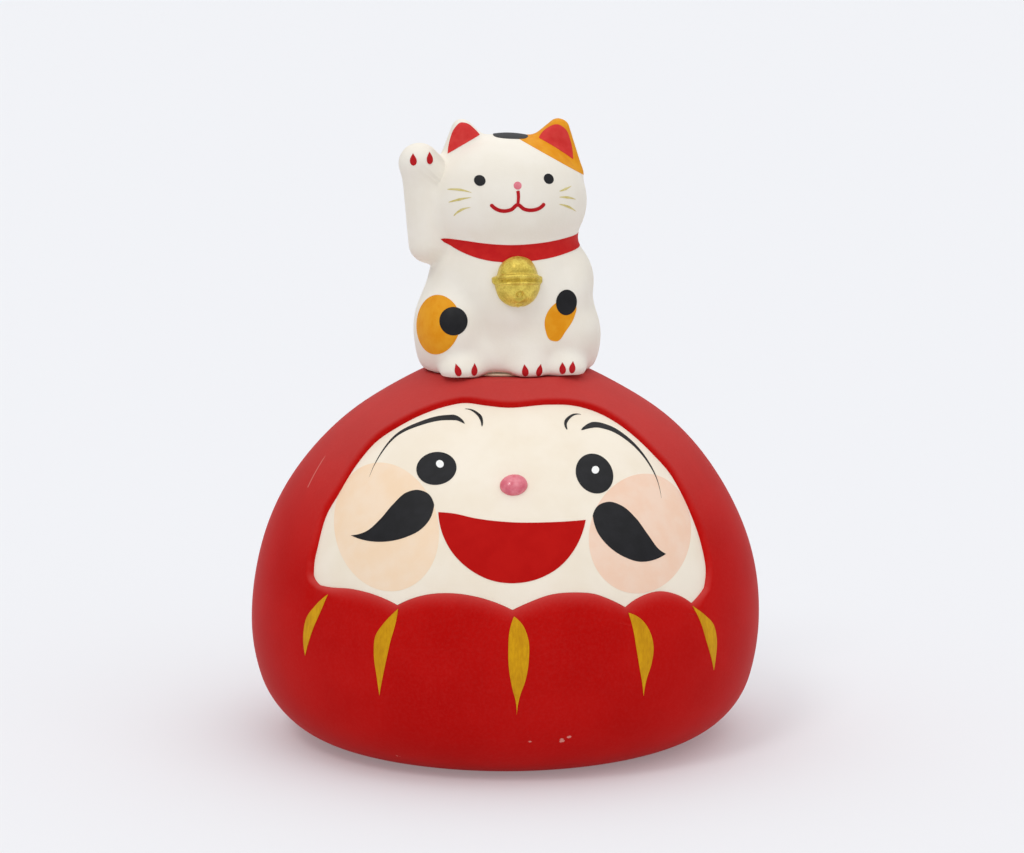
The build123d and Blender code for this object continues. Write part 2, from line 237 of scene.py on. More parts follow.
def film(patch: Array, closed: bool, place: Place, low: float, high: float) -> tuple[Array, Array]:
    """A thin coat between two heights over a surface.

    Args:
        patch: rows of drawing points. A closed patch runs round in its rows and ends in its
            centre; an open one comes to a point at its first and last row.
        closed: which of the two it is.
        place: gives the place in space of drawing points at a height.
        low: height of its underside.
        high: height of its top.

    Returns:
        Its corners and faces.
    """
    top, under = place(patch, high), place(patch, low)
    if closed:
        sheet = np.concatenate([top[:, ::-1], under], axis=1)
        return sheet, grid_quads(sheet.shape[0], sheet.shape[1], True, False)
    sheet = np.concatenate([top, under[:, ::-1]], axis=1)
    return sheet, grid_quads(sheet.shape[0], sheet.shape[1], False, True)


def join(sheets: Sequence[tuple[Array, Array]]) -> tuple[Array, Array]:
    """Corners and faces of several sheets, as those of one."""
    points = [corners.reshape(-1, 3) for corners, _ in sheets]
    starts = np.cumsum([0] + [len(corners) for corners in points])
    return np.vstack(points), np.vstack([faces + start for (_, faces), start in zip(sheets, starts)])


# ------------------------------------------------------------------------------ finishes
def linear(colour: str) -> tuple[float, float, float, float]:
    """Turns an sRGB hex colour into linear red, green, blue and alpha."""
    parts = [int(colour[i:i + 2], 16) / 255 for i in (1, 3, 5)]
    light = [c / 12.92 if c <= 0.04045 else ((c + 0.055) / 1.055) ** 2.4 for c in parts]
    return light[0], light[1], light[2], 1.0


def add(tree: bpy.types.NodeTree, kind: str, inputs: Optional[dict] = None,
        links: Optional[dict] = None, **settings: object) -> bpy.types.Node:
    """Adds a node.

    Args:
        tree: where it goes.
        kind: the node's type.
        inputs: values of its sockets, by name or number.
        links: sockets that feed its sockets, by name or number.
        **settings: its other settings.

    Returns:
        The node.
    """
    node = tree.nodes.new(kind)
    for key, value in settings.items():
        setattr(node, key, value)
    for key, value in (inputs or {}).items():
        node.inputs[key].default_value = value
    for key, socket in (links or {}).items():
        tree.links.new(socket, node.inputs[key])
    return node


def new_material(name: str) -> tuple[bpy.types.Material, bpy.types.NodeTree]:
    """An empty node-based material and its tree."""
    material = bpy.data.materials.new(name)
    material.use_nodes = True
    material.node_tree.nodes.clear()
    return material, material.node_tree


@dataclass(frozen=True)
class MattePaint:
    """Pigment in a lean binder, put on fired clay with a soft brush.

    It dries flat, so the eye sees slow changes of tone where the brush was more or less loaded,
    a fine tooth from the clay under it, and only a broad, weak gloss.
    """

    name: str
    slot: str                    # a material slot's name
    colour: str
    pale: str                    # where the coat is thin
    brush_mm: float = 7.0        # size of the slow changes of tone
    tooth_mm: float = 0.45       # size of the clay's tooth
    tooth_depth_mm: float = 0.02
    roughness: float = 0.62
    gloss: float = 0.35

    def shade(self, tree: bpy.types.NodeTree) -> tuple[bpy.types.Node, bpy.types.Node, bpy.types.Node]:
        """Adds the colour and the tooth.

        Args:
            tree: the material's tree.

        Returns:
            The node with the coordinates, the one that mixes the colour, and the bump.
        """
        where = add(tree, "ShaderNodeTexCoord")
        tone = add(tree, "ShaderNodeTexNoise",
                   {"Scale": 1 / (self.brush_mm * MM), "Detail": 3.0, "Roughness": 0.55},
                   {"Vector": where.outputs["Object"]})
        tooth = add(tree, "ShaderNodeTexNoise", {"Scale": 1 / (self.tooth_mm * MM), "Detail": 2.0},
                    {"Vector": where.outputs["Object"]})
        loaded = add(tree, "ShaderNodeMapRange", {"From Min": 0.3, "From Max": 0.7},
                     {"Value": tone.outputs["Fac"]}, interpolation_type="SMOOTHSTEP")
        mix = add(tree, "ShaderNodeMix", {6: linear(self.colour), 7: linear(self.pale)},
                  {0: loaded.outputs["Result"]}, data_type="RGBA")
        bump = add(tree, "ShaderNodeBump", {"Strength": 1.0, "Distance": self.tooth_depth_mm * MM},
                   {"Height": tooth.outputs["Fac"]})
        return where, mix, bump

    def surface(self, tree: bpy.types.NodeTree, colour: bpy.types.NodeSocket, bump: bpy.types.Node) -> None:
        """Adds the shader and the output, fed by a colour and a bump."""
        shader = add(tree, "ShaderNodeBsdfPrincipled",
                     {"Roughness": self.roughness, "Specular IOR Level": self.gloss},
                     {"Base Color": colour, "Normal": bump.outputs["Normal"]})
        add(tree, "ShaderNodeOutputMaterial", None, {"Surface": shader.outputs["BSDF"]})

    def build(self) -> bpy.types.Material:
        """The finished material."""
        material, tree = new_material(self.name)
        _, mix, bump = self.shade(tree)
        self.surface(tree, mix.outputs[2], bump)
        return material


@dataclass(frozen=True)
class HandledRed(MattePaint):
    """The doll's red coat, with a painted sheen that pales it where it faces up, a pale grit, and nicks from
    handling down to the pale clay.
    """

    rub: str = "#E09A8E"
    sheen_and_grit: str = "#E6B4AC"        # the pale colour of the painted sheen where the surface faces up, and of the coat's grit
    grit_mm: float = 0.65
    speckle_mm: float = 1.1      # size of the ragged edge of a rub
    rubs: tuple = ()             # centre and radii of each rub, in millimetres
    scratch: tuple = ()          # the two ends of a hairline scratch, in millimetres

    def build(self) -> bpy.types.Material:
        """The finished material."""
        material, tree = new_material(self.name)
        where, mix, bump = self.shade(tree)
        speckle = add(tree, "ShaderNodeTexNoise",
                      {"Scale": 1 / (self.speckle_mm * MM), "Detail": 4.0, "Roughness": 0.7},
                      {"Vector": where.outputs["Object"]})
        marks = []
        for centre, radii in self.rubs:
            local = add(tree, "ShaderNodeMapping",
                        {"Location": [-c / r for c, r in zip(centre, radii)],
                         "Scale": [1 / (r * MM) for r in radii]},
                        {"Vector": where.outputs["Object"]})
            far = add(tree, "ShaderNodeVectorMath", None, {0: local.outputs["Vector"]}, operation="LENGTH")
            near = add(tree, "ShaderNodeMapRange",
                       {"From Min": 0.2, "From Max": 1.0, "To Min": 0.42, "To Max": -0.1},
                       {"Value": far.outputs["Value"]})
            both = add(tree, "ShaderNodeMath", None, {0: near.outputs["Result"], 1: speckle.outputs["Fac"]},
                       operation="ADD")
            mark = add(tree, "ShaderNodeMapRange", {"From Min": 0.80, "From Max": 0.90, "To Max": 0.8},
                       {"Value": both.outputs["Value"]})
            marks.append(mark.outputs["Result"])
        marks.append(self.add_scratch(tree, where))
        total = marks[0]
        for mark in marks[1:]:
            most = add(tree, "ShaderNodeMath", None, {0: total, 1: mark}, operation="MAXIMUM")
            total = most.outputs["Value"]
        # painted light: the red is paled where the surface faces up, a painted sheen that stands in for the
        # light from overhead
        facing = add(tree, "ShaderNodeSeparateXYZ", None, {"Vector": where.outputs["Normal"]})
        painted_top_sheen = add(tree, "ShaderNodeMapRange", {"From Min": 0.2, "From Max": 0.95, "To Max": 0.095},
                    {"Value": facing.outputs["Z"]}, interpolation_type="SMOOTHSTEP")
        grit = add(tree, "ShaderNodeTexNoise", {"Scale": 1 / (self.grit_mm * MM), "Detail": 2.0},
                   {"Vector": where.outputs["Object"]})
        grain = add(tree, "ShaderNodeMapRange", {"From Min": 0.4, "From Max": 0.75, "To Max": 0.011},
                    {"Value": grit.outputs["Fac"]})
        pale = add(tree, "ShaderNodeMath", None, {0: painted_top_sheen.outputs["Result"], 1: grain.outputs["Result"]},
                   operation="ADD")
        # the red is mixed towards the pale colour by the painted sheen and the coat's real grit together
        sheened_red = add(tree, "ShaderNodeMix", {7: linear(self.sheen_and_grit)},
                    {0: pale.outputs["Value"], 6: mix.outputs[2]}, data_type="RGBA")
        final = add(tree, "ShaderNodeMix", {7: linear(self.rub)}, {0: total, 6: sheened_red.outputs[2]},
                    data_type="RGBA")
        self.surface(tree, final.outputs[2], bump)
        return material

    def add_scratch(self, tree: bpy.types.NodeTree, where: bpy.types.Node) -> bpy.types.NodeSocket:
        """Adds a hairline: it is worn where the distance to the line between its ends is small.

        Args:
            tree: the material's tree.
            where: the node with the coordinates.

        Returns:
            The wear that the scratch gives.
        """
        start, end = (np.array(p, float) * MM for p in self.scratch)
        length = float(np.linalg.norm(end - start))
        along = (end - start) / length
        offset = add(tree, "ShaderNodeVectorMath", {1: tuple(start)}, {0: where.outputs["Object"]},
                     operation="SUBTRACT")
        run = add(tree, "ShaderNodeVectorMath", {1: tuple(along)}, {0: offset.outputs["Vector"]},
                  operation="DOT_PRODUCT")
        held = add(tree, "ShaderNodeClamp", {"Min": 0.0, "Max": length}, {"Value": run.outputs["Value"]})
        foot = add(tree, "ShaderNodeVectorMath", {0: tuple(along)}, {"Scale": held.outputs["Result"]},
                   operation="SCALE")
        gap = add(tree, "ShaderNodeVectorMath", None,
                  {0: offset.outputs["Vector"], 1: foot.outputs["Vector"]}, operation="DISTANCE")
        # a real hairline is about 0.1 mm wide; it is drawn 0.3 mm wide so that it shows, and its
        # straight line passes just over the round coat at its ends and just under it between
        line = add(tree, "ShaderNodeMapRange",
                   {"From Min": 0.12 * MM, "From Max": 0.27 * MM, "To Min": 0.5, "To Max": 0.0},
                   {"Value": gap.outputs["Value"]})
        return line.outputs["Result"]


@dataclass(frozen=True)
class GiltPaint:
    """Brass powder in varnish, brushed on.

    The eye sees a broken, yellow, half metallic gloss, darker where the powder lies thin.
    """

    name: str
    slot: str                    # a material slot's name
    colour: str
    dark: str                    # where the powder lies thin
    grain_mm: float = 0.5        # size of the broken gloss
    relief_mm: float = 0.03
    metallic: float = 0.45
    roughness: float = 0.42
    gloss: float = 0.5
    streak: float = 3.0          # how much longer than wide the grain is

    def build(self) -> bpy.types.Material:
        """The finished material."""
        material, tree = new_material(self.name)
        where = add(tree, "ShaderNodeTexCoord")
        long = add(tree, "ShaderNodeMapping", {"Scale": (1.0, 1.0, 1.0 / self.streak)},
                   {"Vector": where.outputs["Object"]})
        powder = add(tree, "ShaderNodeTexNoise", {"Scale": 1 / (self.grain_mm * MM), "Detail": 4.0},
                     {"Vector": long.outputs["Vector"]})
        slow = add(tree, "ShaderNodeTexNoise", {"Scale": 1 / (6 * self.grain_mm * MM), "Detail": 2.0},
                   {"Vector": long.outputs["Vector"]})
        both = add(tree, "ShaderNodeMath", None, {0: powder.outputs["Fac"], 1: slow.outputs["Fac"]},
                   operation="MULTIPLY")
        thin = add(tree, "ShaderNodeMapRange", {"From Min": 0.12, "From Max": 0.36},
                   {"Value": both.outputs["Value"]})
        mix = add(tree, "ShaderNodeMix", {6: linear(self.dark), 7: linear(self.colour)},
                  {0: thin.outputs["Result"]}, data_type="RGBA")
        bump = add(tree, "ShaderNodeBump", {"Strength": 1.0, "Distance": self.relief_mm * MM},
                   {"Height": powder.outputs["Fac"]})
        shader = add(tree, "ShaderNodeBsdfPrincipled",
                     {"Metallic": self.metallic, "Roughness": self.roughness,
                      "Specular IOR Level": self.gloss},
                     {"Base Color": mix.outputs[2], "Normal": bump.outputs["Normal"]})
        add(tree, "ShaderNodeOutputMaterial", None, {"Surface": shader.outputs["BSDF"]})
        return material


class Finish(Enum):
    """The finishes of the two figures."""

    RED_COAT = HandledRed(
        "red_gouache_on_earthenware", "red_painted_clay", "#B80B08", "#BF110E", brush_mm=16.0,
        tooth_depth_mm=0.03, roughness=0.5, gloss=0.035,
        rubs=(
            ((-25.6, -44.6, 4.7), (1.6, 2.0, 0.7)), ((10.7, -55.3, 10.6), (1.5, 2.5, 1.2)),
            ((3.6, -56.3, 10.7), (1.2, 2.0, 0.7)), ((-30.2, -26.2, 72.9), (0.7, 1.0, 0.6)),
            ((12.3, -55.5, 11.5), (1.0, 2.0, 1.0)),
        ),
        scratch=((-46.0, -19.15, 61.7), (-42.2, -15.15, 68.2)),
    )
    FACE_CREAM = MattePaint("cream_gouache", "cream_paint", "#F2E6D2", "#F6ECDB", brush_mm=11.0, gloss=0.25)
    CHEEK_PEACH = MattePaint("peach_wash", "peach_paint", "#F6D9B8", "#F7DFC4", brush_mm=6.0, gloss=0.25)
    CHEEK_PINK = MattePaint("pink_wash", "peach_paint", "#F4CFB5", "#F5D7C1", brush_mm=5.0, gloss=0.25)
    MOUTH_RED = MattePaint("mouth_vermilion", "mouth_red_paint", "#B50D0A", "#BC130F", brush_mm=6.0,
                           gloss=0.06)
    INK = MattePaint("carbon_ink", "black_paint", "#1A1A1C", "#202023", brush_mm=3.0, roughness=0.45,
                     gloss=0.18)
    GLINT = MattePaint("zinc_white_dot", "white_paint", "#F4F4F0", "#FAFAF8", brush_mm=1.0, roughness=0.4)
    NOSE_PINK = MattePaint("pink_enamel", "pink_paint", "#D4566A", "#E8828F", brush_mm=1.8, roughness=0.14,
                           gloss=0.8)
    CAT_WHITE = MattePaint("white_slip", "white_painted_clay", "#EFE8DA", "#F3EDE1", brush_mm=9.0,
                           tooth_mm=0.5, tooth_depth_mm=0.025, gloss=0.25)
    CLAY = MattePaint("bare_earthenware", "bare_clay", "#DCCBA9", "#E6D8BC", brush_mm=3.0, roughness=0.85)
    CAT_RED = MattePaint("collar_vermilion", "red_paint", "#C2181A", "#C9221F", brush_mm=2.2, gloss=0.12)
    EAR_RED = MattePaint("ear_vermilion", "red_paint", "#D43230", "#DA403C", brush_mm=2.2, gloss=0.15)
    CLAW_RED = MattePaint("claw_crimson", "red_paint", "#B2151B", "#BA1F26", brush_mm=1.0, gloss=0.1)
    ORANGE = MattePaint("marigold_gouache", "orange_paint", "#E4930F", "#E9A022", brush_mm=2.5, gloss=0.14)
    OCHRE = MattePaint("pale_ochre_line", "yellow_ochre_paint", "#CDBB6C", "#DCCF93", brush_mm=1.0, gloss=0.2)
    PLEAT_GILT = GiltPaint("gilt_brush_mark", "gilt_paint", "#D8A008", "#C48A04", metallic=0.0, roughness=0.6,
                           gloss=0.14)
    BELL_GILT = GiltPaint("gilt_relief", "gilt_paint", "#EAD25E", "#BFA236", grain_mm=0.4, relief_mm=0.035,
                          metallic=0.42, roughness=0.36, streak=1.0)


MATERIALS: dict[Finish, bpy.types.Material] = {}


def material_of(finish: Finish) -> bpy.types.Material:
    """The material of a finish, built the first time that it is asked for."""
    if finish not in MATERIALS:
        MATERIALS[finish] = finish.value.build()
    return MATERIALS[finish]


# ------------------------------------------------------------------------------ the doll
@dataclass
class DollForm:
    """The doll's turned form: heel, hip, shoulder, crown and the platform's edge, arc by arc.

    A place on it is an azimuth, 0 in front and growing to the right, and a length along the
    profile, 0 at the widest level and growing upwards.
    """

    wide_z: float = 28.0
    shoulder_arc: float = 60.4
    shoulder_turn: float = radians(56.1)
    crown_arc: float = 107.7
    hip_arc: float = 46.9
    hip_turn: float = radians(16.6)
    platform_round: float = 1.6
    samples: int = 600            # places worked out along each arc
    length: Array = field(init=False)
    radius: Array = field(init=False)
    height: Array = field(init=False)
    out_r: Array = field(init=False)
    out_z: Array = field(init=False)

    def __post_init__(self) -> None:
        """Tables of radius, height and outward direction against the length along the profile.

        Each arc is centre + radius * (cos, sin) of the direction that its surface faces.
        """
        up, down = self.shoulder_turn, self.hip_turn
        shoulder_r = BODY_R - self.shoulder_arc
        hip_r = BODY_R - self.hip_arc
        heel = (self.wide_z - self.hip_arc * sin(down)) / (1 - sin(down))
        heel_r = hip_r + (self.hip_arc - heel) * cos(down)
        crown_r = shoulder_r - (self.crown_arc - self.shoulder_arc) * cos(up)
        crown_z = self.wide_z - (self.crown_arc - self.shoulder_arc) * sin(up)
        edge_sin = (PLATFORM_Z - self.platform_round - crown_z) / (self.crown_arc - self.platform_round)
        edge = float(np.arcsin(edge_sin))
        edge_r = crown_r + (self.crown_arc - self.platform_round) * cos(edge)
        arcs = [
            (heel_r, heel, heel, -pi / 2, -down),
            (hip_r, self.wide_z, self.hip_arc, -down, 0.0),
            (shoulder_r, self.wide_z, self.shoulder_arc, 0.0, up),
            (crown_r, crown_z, self.crown_arc, up, edge),
            (edge_r, PLATFORM_Z - self.platform_round, self.platform_round, edge, pi / 2),
        ]
        tables = []
        for centre_r, centre_z, radius, start, end in arcs:
            faces = np.linspace(start, end, self.samples)
            r, z = centre_r + radius * np.cos(faces), centre_z + radius * np.sin(faces)
            tables.append(np.stack([r, z, faces]))
        table = np.concatenate(tables, axis=1)
        step = np.hypot(np.diff(table[0]), np.diff(table[1]))
        run = np.concatenate([[0.0], np.cumsum(step)])
        self.length = run - run[2 * self.samples - 1]
        self.radius, self.height = table[0], table[1]
        self.out_r, self.out_z = np.cos(table[2]), np.sin(table[2])

    def place(self, azimuth: Array, length: Array, out: Array) -> Array:
        """Points in space, at a height above the form along its outward direction.

        Args:
            azimuth: radians from the front.
            length: millimetres along the profile.
            out: millimetres outwards.

        Returns:
            x, y and z in millimetres.
        """
        r = np.interp(length, self.length, self.radius) + out * np.interp(length, self.length, self.out_r)
        z = np.interp(length, self.length, self.height) + out * np.interp(length, self.length, self.out_z)
        return np.stack([r * np.sin(azimuth), -r * np.cos(azimuth), z], axis=-1)

    def chart(self, drawing: Array, out: float) -> tuple[Array, Array]:
        """Azimuth and length of points drawn as x and z in a front view, at a height on the form."""
        heights = self.height + out * self.out_z
        length = np.interp(drawing[..., 1], heights, self.length)
        r = np.interp(length, self.length, self.radius + out * self.out_r)
        return np.arcsin(np.clip(drawing[..., 0] / r, -0.999, 0.999)), length

    def length_at(self, z: float) -> float:
        """Length along the profile at a height."""
        return float(np.interp(z, self.height, self.length))


@dataclass
class DollShell:
    """The red shell: hood, robe with scallops, platform, foot with its vent, and the inside."""

    form: DollForm
    hood_step: float = 1.5        # how far the face lies behind the hood
    rim_round: float = 1.3        # width of the hood's rounded rim
    robe_round: float = 4.2       # width of the robe's softer, rolled edge
    wall: float = 4.0
    vent_r: float = 6.0
    columns: int = 288
    half_window: int = 49         # columns from the front to each side of the window
    window_rows: int = 62
    window_low_z: float = 33.0    # the window is the patch of rows and columns around the face
    window_high_z: float = 84.9
    rim_rings: int = 11
    blend_rings: int = 18
    blend_bias: float = 1.25      # above 1, the rings between rim and window lie closer at the rim
    floor_rings: int = 12
    rim_ease: int = 8             # points over which the hood's rim turns into the robe's
    rows_above: int = 12          # rows of the turned grid above the window, below it and inside
    rows_below: int = 42
    rows_inside: int = 50
    notches: tuple = ((-25.4, 40.7), (-0.3, 40.7), (24.7, 40.0), (40.3, 38.6), (-43.0, 41.6))
    valley_depth: float = 0.45
    valley_width: float = 1.5
    valley_length: float = 9.0
    valley_above: float = 3.0     # how far a valley reaches above its notch
    wave_heights: tuple = (0.10, 0.06)
    foot_fade: float = 20.0       # the waves die out over these lengths at the foot and crown
    crown_fade: float = 12.0

    def outline(self) -> Array:
        """The face opening as x and z: scallops from left to right, then round over the top."""
        w, h = 2 * self.half_window, self.window_rows
        foot_counts = (19, 28, 28, 18, w - 93)    # together, the columns across the window
        foot = [
            [(-42.6, 42.4), (-41.0, 42.4), (-35.3, 42.9), (-29.7, 42.2), (-25.4, 40.7)],
            [(-25.4, 40.7), (-19.8, 43.2), (-13.6, 44.0), (-7.5, 43.3), (-0.3, 40.7)],
            [(-0.3, 40.7), (3.4, 42.3), (8.3, 43.8), (13.2, 44.0), (17.8, 43.4), (21.4, 41.9), (24.7, 40.0)],
            [(24.7, 40.0), (28.1, 41.8), (32.8, 42.4), (36.7, 41.1), (40.3, 38.6)],
            [(40.3, 38.6), (41.8, 39.6), (43.4, 41.1)],
        ]
        lower = [smooth(points, [n])[:-1] for points, n in zip(foot, foot_counts)]
        top = [
            (43.4, 41.1), (43.9, 43.2), (43.0, 50.7), (41.1, 56.3), (38.9, 61.2), (36.3, 65.6), (32.8, 69.5),
            (28.9, 73.2), (24.3, 76.6), (19.6, 79.0), (14.0, 80.6), (9.2, 81.0), (-1.0, 80.7), (-4.9, 81.0),
            (-10.3, 81.3), (-14.2, 80.5), (-18.9, 78.9), (-25.2, 75.8), (-29.9, 72.7), (-34.6, 67.6),
            (-38.5, 61.6), (-41.2, 57.1), (-43.2, 50.5), (-44.1, 46.0), (-44.0, 43.7), (-42.6, 42.4),
        ]
        upper = smooth(top, [h, w, h], breaks=(5, 19))[:-1]
        return np.vstack(lower + [upper])

    def relief(self, azimuth: Array, length: Array) -> Array:
        """Height of the worked surface over the turned form.

        It is a shallow valley below each notch, deepest at the notch and gone at its end, and
        long, very low waves that the hand leaves in a mould.
        """
        r = np.interp(length, self.form.length, self.form.radius)
        broad, narrow = self.wave_heights
        total = broad * np.sin(3.1 * azimuth + 0.11 * length) * np.cos(0.055 * length + 0.8)
        total += narrow * np.sin(5.3 * azimuth - 0.17 * length + 1.9)
        fade = np.clip((length - self.form.length[0]) / self.foot_fade, 0, 1)
        total = total * fade * np.clip((self.form.length[-1] - length) / self.crown_fade, 0, 1)
        for notch in self.notches:
            a, t = self.form.chart(np.array(notch), -self.hood_step)
            below = np.clip((t - length) / self.valley_length, 0, 1)
            near = np.exp(-(((azimuth - a) * r / self.valley_width) ** 2))
            total = total - self.valley_depth * near * (1 - below) ** 2 * (length < t + self.valley_above)
        return total

    def window_edge(self) -> tuple[Array, Array]:
        """Azimuth and length of the window's edge, in step with the outline's points."""
        w, h = self.half_window, self.window_rows
        step = 2 * pi / self.columns
        low, high = self.window_lengths()[[0, -1]]
        across = np.arange(-w, w) * step
        up = np.linspace(low, high, h + 1)
        azimuth = np.concatenate([across, np.full(h, w * step), -across, np.full(h, -w * step)])
        length = np.concatenate([np.full(2 * w, low), up[:-1], np.full(2 * w, high), up[:0:-1]])
        return azimuth, length

    def window_lengths(self) -> Array:
        """Lengths of the rows that the window spans."""
        low, high = self.form.length_at(self.window_low_z), self.form.length_at(self.window_high_z)
        return np.linspace(low, high, self.window_rows + 1)

    def rim(self) -> tuple[Array, Array]:
        """The face's floor, the rim and the surface out to the window's edge, in rings.

        The floor's rings shrink to the middle of the face. The rim's rings are the outline pushed
        outwards by w * (1 - cos q) and up by s * sin q, a quarter of an ellipse, which is wider on
        the robe than on the hood. The rest run from the rim to the window's edge.
        """
        outline = self.outline()
        a0, t0 = self.form.chart(outline, -self.hood_step)
        r0 = np.interp(t0, self.form.length, self.form.radius)
        tangent_a = (np.roll(a0, -1) - np.roll(a0, 1)) * r0
        tangent_t = np.roll(t0, -1) - np.roll(t0, 1)
        size = np.hypot(tangent_a, tangent_t)
        out_a, out_t = tangent_t / size, -tangent_a / size

        foot = 2 * self.half_window
        side = np.minimum(np.arange(len(a0)), np.abs(foot - 1 - np.arange(len(a0))))
        on_robe = np.where(np.arange(len(a0)) < foot, np.clip(side / self.rim_ease, 0, 1), 0.0)
        width = self.rim_round + (self.robe_round - self.rim_round) * on_robe**2 * (3 - 2 * on_robe)

        shrink = np.linspace(0, 1, self.floor_rings + 1)[:-1]
        middle_t = float(t0.mean())
        rings = [self.form.place(a0 * s, middle_t + (t0 - middle_t) * s, np.full_like(a0, -self.hood_step))
                 for s in shrink]
        for q in np.linspace(0, pi / 2, self.rim_rings):
            push = width * (1 - cos(q))
            a, t = a0 + out_a * push / r0, t0 + out_t * push
            out = self.hood_step * (sin(q) - 1) + self.relief(a, t) * sin(q)
            rings.append(self.form.place(a, t, out))
        edge_a, edge_t = self.window_edge()
        for u in np.linspace(0, 1, self.blend_rings + 1)[1:] ** self.blend_bias:
            a_mix, t_mix = a + (edge_a - a) * u, t + (edge_t - t) * u
            rings.append(self.form.place(a_mix, t_mix, self.relief(a_mix, t_mix)))
        sheet = np.stack(rings)
        return sheet, grid_quads(sheet.shape[0], sheet.shape[1], False, True)

    def turned(self) -> tuple[Array, Array]:
        """The rest of the shell: a turned grid from the platform's middle, down the outside,
        over the foot, up the vent and round the inside, without the faces in the window."""
        form = self.form
        window = self.window_lengths()[::-1]
        above = np.linspace(form.length[-1], window[0], self.rows_above)[:-1]
        below = np.linspace(window[-1], form.length[0], self.rows_below)[1:]
        outer = np.concatenate([above, window, below])
        azimuth = np.arange(-self.columns // 2, self.columns // 2) * 2 * pi / self.columns
        edge_r, foot_r = form.radius[-1], form.radius[0]

        def flat(radii: Sequence[float], z: float) -> Array:
            """Rings at one height."""
            r = np.array(radii, float)[:, None]
            level = np.full((len(radii), self.columns), z)
            return np.stack([r * np.sin(azimuth), -r * np.cos(azimuth), level], axis=-1)

        grid_a, grid_t = np.meshgrid(azimuth, outer)
        outside = form.place(grid_a, grid_t, self.relief(grid_a, grid_t))
        inner_t = np.linspace(form.length[0], form.length[-1], self.rows_inside)
        in_a, in_t = np.meshgrid(azimuth, inner_t)
        inside = form.place(in_a, in_t, np.full_like(in_a, -self.wall))
        platform = flat(np.linspace(0, edge_r, 9)[:-1], PLATFORM_Z)
        rows = np.concatenate([
            platform, outside,
            flat(np.linspace(foot_r, self.vent_r + 0.4, 12)[1:], 0.0),
            # the vent's lower edge is rounded
            flat([self.vent_r + 0.12], 0.12), flat([self.vent_r], 0.45), flat([self.vent_r], self.wall),
            flat(np.linspace(self.vent_r, foot_r, 6)[1:-1], self.wall), inside,
            flat(np.linspace(edge_r, 0, 5)[1:], PLATFORM_Z - self.wall),
        ])
        quads = grid_quads(rows.shape[0], self.columns, False, True)
        row, column = np.divmod(np.arange(len(quads)), self.columns)
        first_row = len(platform) + len(above)
        middle = self.columns // 2
        in_rows = (row >= first_row) & (row < first_row + self.window_rows)
        in_columns = (column >= middle - self.half_window) & (column < middle + self.half_window)
        return rows, quads[~(in_rows & in_columns)]

    def build(self) -> None:
        """Makes the shell from its two sheets, which share the window's edge."""
        points, quads = join([self.rim(), self.turned()])
        make_piece("doll_shell", points, quads, Finish.RED_COAT, "daruma", "daruma_shell")


